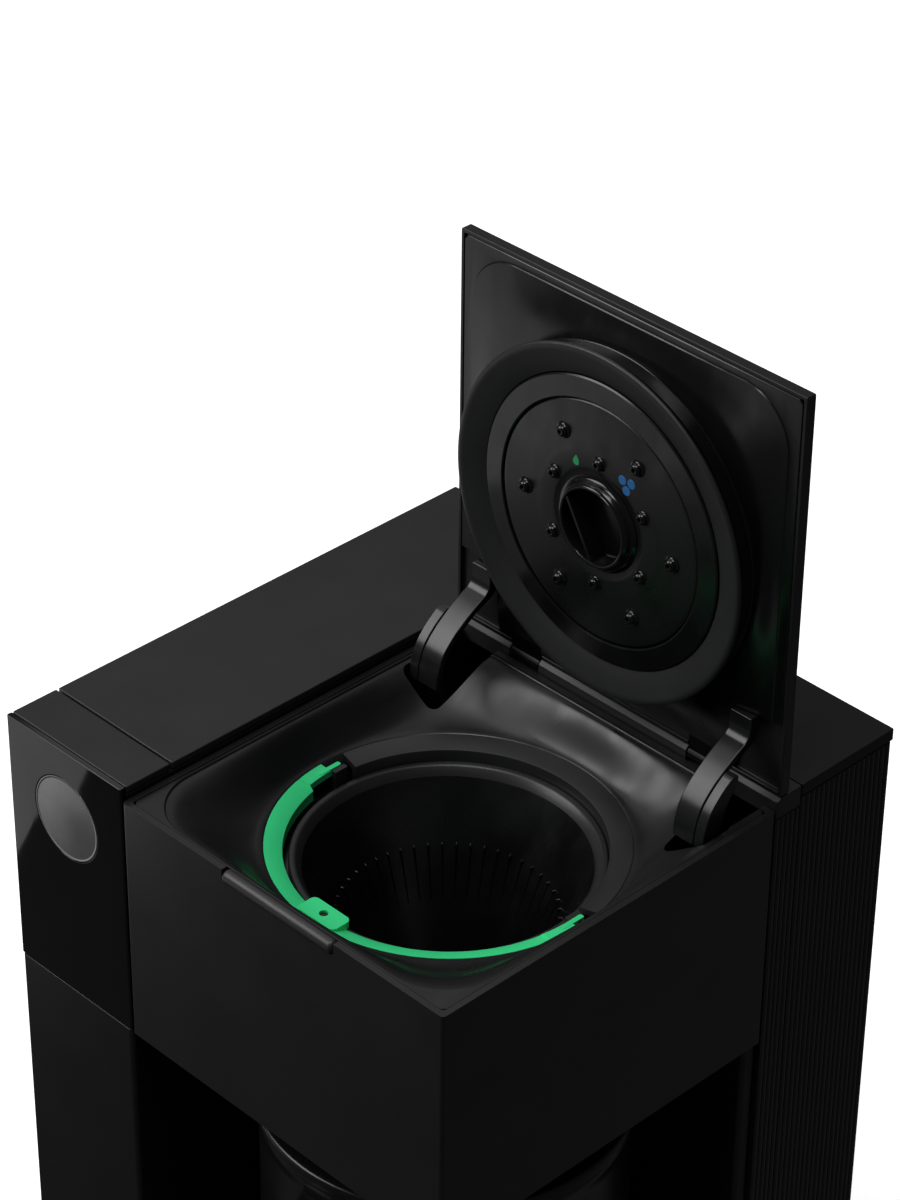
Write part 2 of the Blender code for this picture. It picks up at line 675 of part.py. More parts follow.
def make_spine():
    """The hollow back of the head and carafe bay. It takes the swinging arms and the riser tube."""
    low, high = BASE_TOP + GAP, TOP - 9.0 * MM
    outline = ribbed_side(RIGHT, RAIL_FRONT, RAIL_BACK, 1, WALL)
    outline += [(HEAD_LEFT, RAIL_BACK), (HEAD_LEFT, RAIL_FRONT)]
    shell = publish("spine_shell", prism_mesh(outline, 2, low, high), "smoked")
    hollow = box_mesh(
        (HEAD_LEFT + WALL, RAIL_FRONT - MM, low + WALL),
        (RIGHT - 3.4 * MM, RAIL_BACK - 1.6 * MM, high + MM),
    )
    combine(shell, hollow)
    port = rod_mesh(
        5 * MM, (HEAD_LEFT - MM, RISER_Y, RISER_Z), (HEAD_LEFT + 4 * MM, RISER_Y, RISER_Z), 16
    )
    combine(shell, port)

    publish(
        "bay_wall",
        slab_mesh(
            HEAD_LEFT,
            HEAD_BACK - 7 * MM,
            BASE_TOP + GAP,
            RIGHT - 2 * MM,
            HEAD_BACK,
            HEAD_BOTTOM - GAP,
            2 * MM,
        ),
        "satin_black",
    )

    rail = publish(
        "hinge_rail",
        slab_mesh(HEAD_LEFT, RAIL_FRONT, TOP - 8.6 * MM, RIGHT, RAIL_BACK, TOP, 0.8 * MM),
        "top_satin",
    )
    for x0, x1 in mirrored(LEAF_INNER - 0.5 * MM, LEAF_OUTER + 0.5 * MM):
        notch = box_mesh((x0, RAIL_FRONT - MM, HINGE_Z - 3.4 * MM), (x1, HINGE_Y + 3.6 * MM, TOP + MM))
        combine(rail, notch)
    for x0, x1 in mirrored(PIN_INNER - 0.1 * MM, PIN_OUTER + 0.1 * MM):
        bore = rod_mesh(1.56 * MM, (x0, HINGE_Y, HINGE_Z), (x1, HINGE_Y, HINGE_Z), 24)
        combine(rail, bore)
    # the front top corner is bevelled off, so that the lid's back edge swings past it
    low_corner = (HINGE_Y - 2.75 * MM, HINGE_Z + 1.5 * MM)
    high_corner = (HINGE_Y - 1.05 * MM, TOP)
    outline = [low_corner, high_corner, (high_corner[0], TOP + MM)]
    outline += [(low_corner[0] - MM, TOP + MM), (low_corner[0] - MM, low_corner[1])]
    combine(rail, prism_mesh(outline, 0, HEAD_LEFT - MM, RIGHT + MM))
    spout = rod_mesh(3.4 * MM, (CX, RISER_Y, TOP - 14 * MM), (CX, RISER_Y, TOP + MM), 16)
    combine(rail, spout)

    for side, (x0, x1) in zip(("left", "right"), mirrored(PIN_INNER, PIN_OUTER)):
        pin = rod_mesh(1.5 * MM, (x0, HINGE_Y, HINGE_Z), (x1, HINGE_Y, HINGE_Z), 24)
        publish(f"hinge_pin_{side}", pin, "steel")


# ---------------------------------------------------------------- lid, modelled open
LEAF_INNER, LEAF_OUTER = 38.0 * MM, 52.0 * MM
PIN_INNER, PIN_OUTER = 33.0 * MM, 57.0 * MM
SKIN = 2.8 * MM
LID_HINGE = (CX, HINGE_Y, HINGE_Z)


def turned_open(bm):
    """Turns a mesh built as the closed lid a quarter turn about the hinge."""
    spin = Matrix.Translation(LID_HINGE) @ Matrix.Rotation(-math.pi / 2, 4, "X")
    bmesh.ops.transform(bm, matrix=spin @ Matrix.Translation(-Vector(LID_HINGE)), verts=bm.verts)
    return bm


def make_lid():
    skin = slab_mesh(HEAD_LEFT, FRONT, TOP - SKIN, RIGHT, HEAD_BACK - 0.1 * MM, TOP, 2 * MM)
    publish("lid_plate", turned_open(skin), "top_satin", LID_HINGE)

    half_x = (RIGHT - HEAD_LEFT) / 2 - 0.6 * MM
    half_y = (HEAD_BACK - FRONT) / 2 - 0.6 * MM
    back, rim = TOP - SKIN - GAP, RIM_Z + 0.3 * MM
    seat = TOP - 13.6 * MM
    face = TOP - 16.2 * MM
    thick = 1.8 * MM
    sections = []
    for angle in fair_angles(44):
        outer = square_reach(angle, half_x, half_y, 2 * MM)
        bulge = square_reach(angle, half_x - 4.4 * MM, half_y - 4.4 * MM, 21 * MM)

        def at(radius, height):
            return (CX + radius * math.cos(angle), CY + radius * math.sin(angle), height)

        neck, panel = 66.6 * MM, rim - 3.4 * MM
        lower = []
        for t in (1.0, 0.75, 0.5, 0.25, 0.0):
            lower.append((neck + (bulge - neck) * t, panel + (rim - panel) * t))
        inside = [(r - 0.5 * thick, z + thick) for r, z in lower if z + thick < back - 0.4 * MM]
        while len(inside) < 3:
            inside.insert(0, (inside[0][0] + 0.3 * MM, inside[0][1] + 0.05 * MM))
        inside = inside[-3:]
        section = [at(outer, back), at(outer, rim)]
        section += [at(r, z) for r, z in lower]
        section += [at(neck, seat)]
        section += [at(GASKET_INNER - 0.2 * MM, seat), at(GASKET_INNER - 0.2 * MM, face + 0.4 * MM)]
        section += [at(SHOWER_RADIUS + 0.3 * MM, face), at(SHOWER_RADIUS + 0.3 * MM, face + 4.4 * MM)]
        section += [at(GASKET_INNER, seat + thick + 0.6 * MM), at(neck - thick, seat + thick)]
        section += [at(r, z) for r, z in reversed(inside)]
        section += [at(inside[0][0] + 0.4 * MM, back)]
        sections.append(section)
    liner = publish("lid_liner", turned_open(loft_mesh(sections)), "gloss_black", LID_HINGE)
    for x0, x1 in mirrored(ARM_INNER - 0.6 * MM, CHEEK_OUTER + 8 * MM):
        cut = box_mesh((x0, HEAD_BACK - 30.6 * MM, TOP - 30 * MM), (x1, HEAD_BACK + 2 * MM, back + 0.1 * MM))
        combine(liner, turned_open(cut))

    crest = TOP - 19.3 * MM
    ring = [(GASKET_INNER + 0.2 * MM, seat - GAP), (GASKET_INNER + 0.2 * MM, seat - 1.2 * MM)]
    ring += [(67.6 * MM, crest + 1.0 * MM), (68.8 * MM, crest + 1.2 * MM), (69.2 * MM, crest + 2.1 * MM)]
    ring += [(68.2 * MM, crest + 3.2 * MM), (64.0 * MM, seat - GAP)]
    gasket = lathe_mesh(ring, (CX, CY, 0), 2, 40)
    publish("lid_gasket", turned_open(gasket), "gasket", LID_HINGE)

    make_shower(face)

    channel = box_mesh((CX - 6 * MM, CY + 20 * MM, TOP - 7.4 * MM), (CX + 6 * MM, CY + 64.2 * MM, back))
    channel = publish("lid_channel", turned_open(channel), "white_silicone", LID_HINGE)
    duct = box_mesh(
        (CX - 4.5 * MM, CY + 18 * MM, TOP - 6.2 * MM), (CX + 4.5 * MM, CY + 66 * MM, back - 0.9 * MM)
    )
    combine(channel, turned_open(duct))


def make_shower(face):
    """The perforated plate in the lid, with two rings of nozzles round the flow selector."""
    profile = [
        (16.2 * MM, face + GAP),
        (45 * MM, face + GAP),
        (SHOWER_RADIUS, face + 0.6 * MM),
        (SHOWER_RADIUS, face + 2.6 * MM),
        (16.2 * MM, face + 2.6 * MM),
    ]
    plate = lathe_mesh(profile, (CX, CY, 0), 2, 48)
    plate = publish("shower_plate", turned_open(plate), "gloss_black", LID_HINGE)
    studs = bmesh.new()
    for radius, first in NOZZLE_RINGS:
        for i in range(6):
            angle = math.radians(first + 60 * i)
            centre = (CX + radius * math.cos(angle), CY + radius * math.sin(angle), face + GAP)
            stud = [(0, -2.2), (1.2, -2.2), (2.3, 0.4), (0, 0.4)]
            one = lathe_mesh([(r * MM, z * MM) for r, z in stud], centre, 2, 8)
            add_to(studs, one)
    combine(plate, turned_open(studs), "UNION")

    profile = [
        (0, face + 4.2 * MM),
        (14.4 * MM, face + 4.2 * MM),
        (14.4 * MM, face - 3.6 * MM),
        (17.0 * MM, face - 3.6 * MM),
        (SELECTOR_RADIUS, face - 0.1 * MM),
        (15.8 * MM, face - 0.1 * MM),
        (15.8 * MM, face + 5.8 * MM),
        (0, face + 5.8 * MM),
    ]
    selector = publish(
        "flow_selector",
        turned_open(lathe_mesh(profile, (CX, CY, 0), 2, 32)),
        "gloss_black",
        open_lid(CX, CY, TOP),
    )
    bar = box_mesh(
        (CX - 8.0 * MM, CY - 15 * MM, face - 2.9 * MM),
        (CX - 6.5 * MM, CY + 15 * MM, face + 4.4 * MM),
    )
    spin = Matrix.Rotation(math.radians(-30), 4, "Z")
    centre = Matrix.Translation((CX, CY, 0))
    bmesh.ops.transform(bar, matrix=centre @ spin @ centre.inverted(), verts=bar.verts)
    keep = rod_mesh(14.8 * MM, (CX, CY, face - 4 * MM), (CX, CY, face + 8 * MM), 40)
    bar_object = publish("flow_selector_bar_tool", turned_open(bar), None)
    combine(bar_object, turned_open(keep), "INTERSECT")
    bar_object.hide_render = True
    bar_object.display_type = "WIRE"
    join = selector.modifiers.new("bar", "BOOLEAN")
    join.operation = "UNION"
    join.solver = "EXACT"
    join.object = bar_object


# The arm's outer curve with the lid open: distance in front of the hinge, height above it.
ARM_CURVE = (
    (-33.6, -7.6),
    (-32.9, -0.8),
    (-30.2, 6.4),
    (-25.3, 12.2),
    (-19.8, 16.7),
    (-13.8, 20.7),
    (-8.2, 23.7),
    (-6.0, 29.0),
    (-5.9, 33.3),
)


def make_hinge_arms():
    def world(points):
        return [(HINGE_Y + y * MM, HINGE_Z + z * MM) for y, z in points]

    strip = list(ARM_CURVE) + [(-0.9, 33.3), (-0.9, 27.0), (-6.0, 21.2), (-12.6, 18.2), (-18.4, 14.4)]
    strip += [(-23.4, 10.2), (-27.8, 5.0), (-30.3, -1.4), (-31.0, -7.6)]
    cheek = list(ARM_CURVE[:5]) + [(-17.9, 17.6), (-16.2, 16.4), (-17.4, 12.0), (-21.4, 6.2)]
    cheek += [(-24.2, -0.2), (-25.2, -7.6)]
    for side, (x0, x1) in zip(("left", "right"), mirrored(ARM_INNER, ARM_OUTER)):
        publish(f"hinge_arm_{side}", prism_mesh(world(strip), 0, x0, x1), "gloss_black", LID_HINGE)
    for side, (x0, x1) in zip(("left", "right"), mirrored(ARM_OUTER + GAP, CHEEK_OUTER)):
        publish(f"hinge_cheek_{side}", prism_mesh(world(cheek), 0, x0, x1), "satin_black", LID_HINGE)

    knuckle = []
    for i in range(19):
        angle = math.radians(-235 + 290 * i / 18)
        knuckle.append((2.8 * math.cos(angle), 2.8 * math.sin(angle)))
    leaf = knuckle + [(1.6, 3.05 + GAP / MM), (0.0, 3.05 + GAP / MM), (0.0, 26.0), (-1.5, 26.0), (-1.5, 3.2)]
    for side, (x0, x1) in zip(("left", "right"), mirrored(LEAF_INNER, LEAF_OUTER)):
        one = publish(f"hinge_leaf_{side}", prism_mesh(world(leaf), 0, x0, x1), "steel", LID_HINGE)
        hole = rod_mesh(1.58 * MM, (x0 - MM, HINGE_Y, HINGE_Z), (x1 + MM, HINGE_Y, HINGE_Z), 24)
        combine(one, hole)
        slot = box_mesh(
            (x0 - 0.3 * MM, HINGE_Y - 2.0 * MM, HINGE_Z + 3.0 * MM),
            (x1 + 0.3 * MM, HINGE_Y + 0.3 * MM, HINGE_Z + 26.4 * MM),
        )
        combine(bpy.data.objects["lid_liner"], slot)


# ---------------------------------------------------------------- brew basket
BASKET_LOW = HEAD_BOTTOM + 8.0 * MM
BAIL_TOP = TOP - OPENING_DROP + 0.3 * MM
BAIL_Z = BAIL_TOP - 2.0 * MM
BAIL_Y = CY + 2.5 * MM
TAB_INNER = 55.8 * MM
RIB_COUNT = 16


def make_basket():
    rim = TOP - BASKET_RIM_DROP
    outer = [(57.2, rim / MM), (62.0, rim / MM), (62.0, rim / MM - 2.4), (57.8, rim / MM - 3.0)]
    base = BASKET_LOW / MM
    wall = [(27.0, base + 8), (24.0, base), (12.0, base), (12.0, base - 5), (9.0, base - 5)]
    wall += [(9.0, base), (4.2, base)]
    inner = [(4.2, base + 2.0), (22.6, base + 2.0), (25.0, base + 9), (40.6, rim / MM - 23)]
    inner += [(52.5, rim / MM - 0.2), (54.7, rim / MM + 3.3), (57.2, rim / MM + 3.3)]
    profile = [(r * MM, z * MM) for r, z in outer + wall + inner]
    origin = (CX, CY, rim)
    basket = publish("brew_basket", lathe_mesh(profile, (CX, CY, 0), 2, 32), "satin_black", origin)
    ribs = bmesh.new()
    for i in range(RIB_COUNT):
        angle = math.tau * (i + 0.5) / RIB_COUNT
        out = Vector((math.cos(angle), math.sin(angle), 0))
        side = Vector((-math.sin(angle), math.cos(angle), 0)) * 0.6 * MM
        middle = Vector((CX, CY, 0))
        corners = [(23.4, base + 7.5), (39.0, rim / MM - 23.4), (41.4, rim / MM - 22.6), (26.2, base + 7.5)]
        rows = []
        for shift in (-side, side):
            row = []
            for radius, height in corners:
                place = middle + out * radius * MM + Vector((0, 0, height * MM)) + shift
                row.append(ribs.verts.new(place))
            rows.append(row)
        for k in range(4):
            m = (k + 1) % 4
            ribs.faces.new((rows[0][k], rows[0][m], rows[1][m], rows[1][k]))
        ribs.faces.new(rows[0])
        ribs.faces.new(rows[1])
    combine(basket, ribs, "UNION")
    for sign in (-1, 1):
        ear = box_between(sign, (58.6, 60.8), (-0.6, 5.6), rim - 1.0 * MM, BAIL_Z + 1.3 * MM)
        combine(basket, ear, "UNION")
        start, end = (CX + sign * 59.6 * MM, BAIL_Y, BAIL_Z), (CX + sign * 62.7 * MM, BAIL_Y, BAIL_Z)
        combine(basket, rod_mesh(0.9 * MM, start, end, 16), "UNION")
    # the collar that carries on the handle's circle round the back
    edge = (TOP - OPENING_DROP) / MM
    section = [(57.6, edge - 1.6), (65.9, edge - 0.15), (65.2, edge - 0.9), (63.2, edge - 3.0)]
    section += [(60.2, edge - 3.6)]
    section += [(60.2, rim / MM - 0.6), (57.6, rim / MM - 0.6)]
    rows = []
    for i in range(21):
        angle = math.radians(8 + 164 * i / 20)
        c, s = math.cos(angle), math.sin(angle)
        rows.append([(CX + r * MM * c, CY + r * MM * s, z * MM) for r, z in section])
    combine(basket, open_loft(rows), "UNION")

    make_bail()

    base_z = BASKET_LOW + 2.0 * MM
    profile = [(0, -13.9), (2.6, -13.9), (3.0, -13.3), (6.4, -13.3), (6.4, -11.9), (3.0, -11.9)]
    profile += [(3.0, 0.3), (7.0, 0.3), (7.4, 1.0), (3.0, 2.6), (0, 2.6)]
    profile = [(r * MM, z * MM) for r, z in profile]
    publish(
        "drip_stop_valve",
        lathe_mesh(profile, (CX, CY, base_z), 2, 24),
        "white_silicone",
        (CX, CY, base_z),
    )
    publish(
        "drip_stop_spring",
        coil_mesh((CX, CY), 5.0 * MM, 0.35 * MM, base_z - 11.6 * MM, BASKET_LOW - GAP, 3, 10, 5),
        "steel",
    )


def open_loft(rows):
    """Faces between neighbouring sections, closed by a face over the first and the last."""
    bm = bmesh.new()
    rings = [[bm.verts.new(point) for point in row] for row in rows]
    count = len(rings[0])
    for a, b in zip(rings, rings[1:]):
        for k in range(count):
            m = (k + 1) % count
            bm.faces.new((a[k], a[m], b[m], b[k]))
    bm.faces.new(rings[0])
    bm.faces.new(rings[-1])
    return bm


def make_bail():
    """The C-shaped lifting handle, folded down in the opening, with its tab at the front."""
    pivot = (CX, BAIL_Y, BAIL_Z)
    band = [(59.2, -2.95), (65.9, -0.55), (65.3, -1.2), (63.2, -3.35), (63.2, -7.4), (59.2, -7.4)]
    end = [(61.4, -1.7), (65.9, -0.55), (65.3, -1.2), (63.2, -3.35), (63.2, -3.9), (61.4, -3.9)]
    rows = []
    stops = [-179, -174, -169, -168.5] + [-168 + 156 * i / 28 for i in range(29)]
    for degrees in stops + [-11.5, -11, -6, -1]:
        c, s = math.cos(math.radians(degrees)), math.sin(math.radians(degrees))
        section = end if degrees < -168.2 or degrees > -11.8 else band
        rows.append([(CX + r * MM * c, CY + r * MM * s, BAIL_TOP + z * MM) for r, z in section])
    bail = publish("basket_handle", open_loft(rows), "green", pivot)
    for sign in (-1, 1):
        boss = box_between(sign, (61.1, 63.1), (-6.0, 4.7), BAIL_Z - 1.8 * MM, BAIL_TOP - 0.6 * MM)
        combine(bail, boss, "UNION")
    tab = slab_mesh(
        CX - 9.4 * MM, CY - 62.5 * MM, BAIL_TOP - 4 * MM, CX + 9.4 * MM, CY - TAB_INNER, BAIL_TOP - 0.1 * MM
    )
    combine(bail, tab, "UNION")
    hole_y = CY - TAB_INNER - 4.5 * MM
    combine(bail, rod_mesh(1.9 * MM, (CX, hole_y, BAIL_TOP - 12 * MM), (CX, hole_y, TOP), 16))
    for sign in (-1, 1):
        start, end = (CX + sign * 57 * MM, BAIL_Y, BAIL_Z), (CX + sign * 66 * MM, BAIL_Y, BAIL_Z)
        combine(bail, rod_mesh(0.98 * MM, start, end, 16))


# ---------------------------------------------------------------- carafe
CARAFE_LOW = BASE_TOP + 1.1 * MM
CARAFE_TOP = TOP - CARAFE_TOP_DROP


def make_carafe():
    low, top = CARAFE_LOW / MM, CARAFE_TOP / MM
    profile = [
        (58, low),
        (66, low),
        (69, low + 1.5),
        (70, low + 5),
        (70, top - 14),
        (71.6, top - 8),
        (71.6, top - 5.2),
        (52, top - 5.2),
        (50, top - 8),
        (50, top - 22),
        (62, top - 36),
        (63.5, top - 50),
        (63.5, low + 18),
        (58, low + 10),
        (0, low + 8),
    ]
    profile = [(0, low + 2.5), (56, low + 2.5)] + profile
    origin = (CX, CY, CARAFE_LOW)
    body = lathe_mesh([(r * MM, z * MM) for r, z in profile], (CX, CY, 0), 2, 32)
    publish("carafe_body", body, "satin_black", origin)

    lid = [
        (0, top + 11.0),
        (18, top + 15.0),
        (22, top + 14.4),
        (27, top + 8.5),
        (44, top + 4.5),
        (70.4, top),
        (72.4, top - 0.8),
        (72.4, top - 4.9),
        (50.4, top - 4.9),
        (49.6, top - 8),
        (49.6, top - 20),
        (46.5, top - 20),
        (46.5, top - 3.0),
        (24, top + 3.5),
        (0, top + 3.5),
    ]
    mesh = lathe_mesh([(r * MM, z * MM) for r, z in reversed(lid)], (CX, CY, 0), 2, 32)
    lid_object = publish("carafe_lid", mesh, "satin_black", (CX, CY, CARAFE_TOP))
    drip = rod_mesh(4 * MM, (CX, CY, CARAFE_TOP - 12 * MM), (CX, CY, CARAFE_TOP + 20 * MM), 16)
    combine(lid_object, drip)

    # The handle: a flat loop at the front, joined to the body by a band above and below the grip.
    start = CY - CARAFE_RADIUS - GAP
    end = FRONT - HANDLE_REACH
    grip = 13 * MM
    outline = [
        (start, top * MM - 20 * MM),
        (end + 10 * MM, top * MM - 20 * MM),
        (end + 3 * MM, top * MM - 23 * MM),
        (end, top * MM - 30 * MM),
        (end + 2 * MM, 62 * MM),
        (end + 7 * MM, 55 * MM),
        (start, 50 * MM),
        (start, 62 * MM),
        (end + grip + 3 * MM, 66 * MM),
        (end + grip + 1 * MM, 70 * MM),
        (end + grip, top * MM - 40 * MM),
        (end + grip + 3 * MM, top * MM - 36 * MM),
        (start, top * MM - 36 * MM),
    ]
    publish(
        "carafe_handle",
        prism_mesh(outline, 0, CX - 9 * MM, CX + 9 * MM),
        "satin_black",
        (CX, start, CARAFE_TOP),
    )


# ---------------------------------------------------------------- water tank
TANK_LOW = BASE_TOP + 1.0 * MM
TANK_HIGH = TOP - 5.4 * MM


def make_tank():
    side = ribbed_side(RIGHT, TANK_FRONT, BACK - 1.2 * MM, 1, WALL)
    rear = ribbed_side(BACK, HEAD_LEFT + 1.2 * MM, RIGHT - 1.2 * MM, 1, WALL)
    outline = side + [(x, y) for y, x in reversed(rear)]
    outline += [(HEAD_LEFT, BACK - 1.2 * MM), (HEAD_LEFT, TANK_FRONT)]
    tank = publish(
        "water_tank", prism_mesh(outline, 2, TANK_LOW, TANK_HIGH), "smoked", (CX, TANK_Y, TANK_LOW)
    )
    hollow = slab_mesh(
        HEAD_LEFT + 2.6 * MM,
        TANK_FRONT + 2.4 * MM,
        TANK_LOW + 4 * MM,
        RIGHT - 2.9 * MM,
        BACK - 2.9 * MM,
        TOP,
        1.5 * MM,
    )
    combine(tank, hollow)
    combine(tank, rod_mesh(6 * MM, (CX, TANK_Y, TANK_LOW - MM), (CX, TANK_Y, TANK_LOW + 6 * MM), 20))

    pivot = (CX, BACK - 1.5 * MM, TOP - 1.5 * MM)
    lid = slab_mesh(HEAD_LEFT, TANK_FRONT, TOP - 5.0 * MM, RIGHT, BACK, TOP, 0.8 * MM)
    publish("tank_lid", lid, "top_satin", pivot)

    # Spring valve in the tank's floor: a stem through the hole, and a disc that seals it.
    base = TANK_LOW + 4 * MM
    profile = [(0, -4.6), (2.2, -4.6), (2.2, 0.3), (8.6, 0.3), (9.0, 0.8), (9.0, 2.2), (0, 2.2)]
    profile = [(r * MM, z * MM) for r, z in profile]
    valve = lathe_mesh(profile, (CX, TANK_Y, base), 2, 24)
    publish("tank_valve", valve, "white_silicone", (CX, TANK_Y, base))
    publish(
        "tank_valve_spring",
        coil_mesh((CX, TANK_Y), 5.5 * MM, 0.35 * MM, base + 2.5 * MM, base + 12.7 * MM, 3, 10, 5),
        "steel",
    )
    cage = [(0, 13.0), (9.8, 13.0), (9.8, 0.3), (11.4, 0.3), (11.4, 15.0), (0, 15.0)]
    cage = lathe_mesh([(r * MM, z * MM) for r, z in cage], (CX, TANK_Y, base), 2, 24)
    cage = publish("tank_valve_cage", cage, "smoked")
    for axis in (0, 1):
        low = [CX - 4 * MM, TANK_Y - 4 * MM, base + 3 * MM]
        high = [CX + 4 * MM, TANK_Y + 4 * MM, base + 11 * MM]
        low[axis], high[axis] = low[axis] - 14 * MM, high[axis] + 14 * MM
        combine(cage, box_mesh(low, high))

    socket = [(3.6, 17.0), (10.0, 17.0), (10.0, 22.6), (12.4, 22.6), (12.4, 24.2), (10.0, 24.2)]
    socket += [(10.0, 28.6), (8.6, 28.6), (8.6, 20.0), (3.6, 20.0)]
    socket = [(r * MM, z * MM) for r, z in socket]
    socket = publish("tank_socket", lathe_mesh(socket, (CX, TANK_Y, 0), 2, 24), "gasket")


clear_scene()
make_base()
make_column()
make_controls()
make_water_path()
make_head()
make_deck()
make_spine()
make_lid()
make_hinge_arms()
make_basket()
make_carafe()
make_tank()
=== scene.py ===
"""Looks of the drip coffee maker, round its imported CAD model. Metres, +Z up, front towards -Y."""

import math

import bmesh
import bpy
from mathutils import Matrix, Vector

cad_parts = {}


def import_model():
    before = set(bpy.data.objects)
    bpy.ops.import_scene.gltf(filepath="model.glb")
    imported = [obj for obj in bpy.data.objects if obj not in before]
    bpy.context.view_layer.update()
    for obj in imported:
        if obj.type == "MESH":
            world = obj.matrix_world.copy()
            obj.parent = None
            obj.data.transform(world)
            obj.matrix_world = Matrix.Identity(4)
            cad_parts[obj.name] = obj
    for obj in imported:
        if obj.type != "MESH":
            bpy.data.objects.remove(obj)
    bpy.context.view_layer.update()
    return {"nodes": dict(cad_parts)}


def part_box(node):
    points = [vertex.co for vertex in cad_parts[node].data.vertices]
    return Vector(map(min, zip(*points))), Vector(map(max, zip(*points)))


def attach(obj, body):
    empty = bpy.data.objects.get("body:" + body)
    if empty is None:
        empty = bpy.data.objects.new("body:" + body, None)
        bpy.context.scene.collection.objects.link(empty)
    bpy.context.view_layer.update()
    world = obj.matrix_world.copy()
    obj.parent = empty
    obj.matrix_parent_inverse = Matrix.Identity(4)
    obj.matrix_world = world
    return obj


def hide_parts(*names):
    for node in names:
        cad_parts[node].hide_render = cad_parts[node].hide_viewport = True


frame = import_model()

MM = 0.001

# ---------------------------------------------------------------- places, read from the CAD nodes
head_lo, head_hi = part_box("head_shell")
column_lo, column_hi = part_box("column_shell")
glass_lo, glass_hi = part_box("front_panel_glass")
dial_lo, dial_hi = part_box("control_dial")
pin_lo, pin_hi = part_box("hinge_pin_left")
tank_lo, tank_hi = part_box("water_tank")
rail_lo, rail_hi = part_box("hinge_rail")

LEFT, FRONT = column_lo.x, column_lo.y
RIGHT, BACK = head_hi.x, column_hi.y
TOP = glass_hi.z
HEAD_LEFT, HEAD_BACK, HEAD_BOTTOM, RIM_Z = head_lo.x, head_hi.y, head_lo.z, head_hi.z
CX, CY = (HEAD_LEFT + RIGHT) / 2, (FRONT + HEAD_BACK) / 2
HINGE_Y, HINGE_Z = (pin_lo.y + pin_hi.y) / 2, (pin_lo.z + pin_hi.z) / 2
DIAL_X, DIAL_Z = (dial_lo.x + dial_hi.x) / 2, (dial_lo.z + dial_hi.z) / 2
OPENING_EDGE = TOP - 20.0 * MM
OPENING_RADIUS = 66.4 * MM
FACE = TOP - 16.2 * MM  # the shower plate's face, lid closed
SEAT = TOP - 13.6 * MM  # where the gasket sits, lid closed
LID_BACK = TOP - 3.1 * MM  # the liner's upper face, lid closed

WALL = 2.4 * MM
POCKET = (57.8 * MM, 76.2 * MM)  # the hinge pockets, in X from the brew axis
HANDLE_PIVOT_Y = CY + 2.5 * MM
SECTIONS = 320  # round the tray and the liner
NOZZLE_RINGS = ((35.8, 0.0), (24.8, 30.0))  # six nozzles each: radius in mm, first angle
GRIP_ANGLE = -30  # degrees, of the flow ring's bar
BASKET_RIBS = 48
SPINE_RIBS, TANK_SIDE_RIBS, TANK_REAR_RIBS = 5, 18, 60
RIB_DEPTH = 0.7 * MM
CARAFE_TOP = TOP - 130 * MM

NOISE_LOW, NOISE_HIGH = 0.3, 0.7  # the part of a noise texture's range that is used
SHARP_ANGLE = 34.0  # degrees, above which an edge is shaded sharp


# ---------------------------------------------------------------- materials
def material(name, colour, roughness, metallic=0.0, **sockets):
    made = bpy.data.materials.new(name)
    made.use_nodes = True
    shader = made.node_tree.nodes["Principled BSDF"]
    shader.inputs["Base Color"].default_value = (*colour, 1.0)
    shader.inputs["Roughness"].default_value = roughness
    shader.inputs["Metallic"].default_value = metallic
    for socket, value in sockets.items():
        shader.inputs[socket.replace("_", " ")].default_value = value
    return made


def node(made, kind, **inputs):
    new = made.node_tree.nodes.new(kind)
    for socket, value in inputs.items():
        new.inputs[socket.replace("_", " ")].default_value = value
    return new


def noise(made, scale, detail=3.0, stretch=(1, 1, 1)):
    """A noise texture in the piece's own space: scale is features per metre."""
    links = made.node_tree.links
    place = made.node_tree.nodes.new("ShaderNodeTexCoord")
    mapping = node(made, "ShaderNodeMapping")
    mapping.inputs["Scale"].default_value = stretch
    links.new(place.outputs["Object"], mapping.inputs["Vector"])
    texture = node(made, "ShaderNodeTexNoise", Scale=scale, Detail=detail)
    links.new(mapping.outputs["Vector"], texture.inputs["Vector"])
    return texture.outputs["Fac"]


def vary(made, socket, source, low, high):
    """Drives a shader socket with the source, from low to high."""
    links = made.node_tree.links
    ranged = node(made, "ShaderNodeMapRange")
    ranged.inputs["From Min"].default_value = NOISE_LOW
    ranged.inputs["From Max"].default_value = NOISE_HIGH
    ranged.inputs["To Min"].default_value = low
    ranged.inputs["To Max"].default_value = high
    links.new(source, ranged.inputs["Value"])
    links.new(ranged.outputs["Result"], made.node_tree.nodes["Principled BSDF"].inputs[socket])


def tint(made, source, dark, light):
    """Colours the surface between two near shades by the source."""
    ramp = made.node_tree.nodes.new("ShaderNodeValToRGB")
    ramp.color_ramp.elements[0].position = NOISE_LOW
    ramp.color_ramp.elements[1].position = NOISE_HIGH
    ramp.color_ramp.elements[0].color = (*dark, 1.0)
    ramp.color_ramp.elements[1].color = (*light, 1.0)
    made.node_tree.links.new(source, ramp.inputs["Fac"])
    shader = made.node_tree.nodes["Principled BSDF"]
    made.node_tree.links.new(ramp.outputs["Color"], shader.inputs["Base Color"])


def bump(made, layers):
    """Chains bumps: each layer is (height source, strength, distance in metres)."""
    links = made.node_tree.links
    before = None
    for source, strength, distance in layers:
        step = node(made, "ShaderNodeBump", Strength=strength, Distance=distance)
        links.new(source, step.inputs["Height"])
        if before:
            links.new(before.outputs["Normal"], step.inputs["Normal"])
        before = step
    shader = made.node_tree.nodes["Principled BSDF"]
    links.new(before.outputs["Normal"], shader.inputs["Normal"])


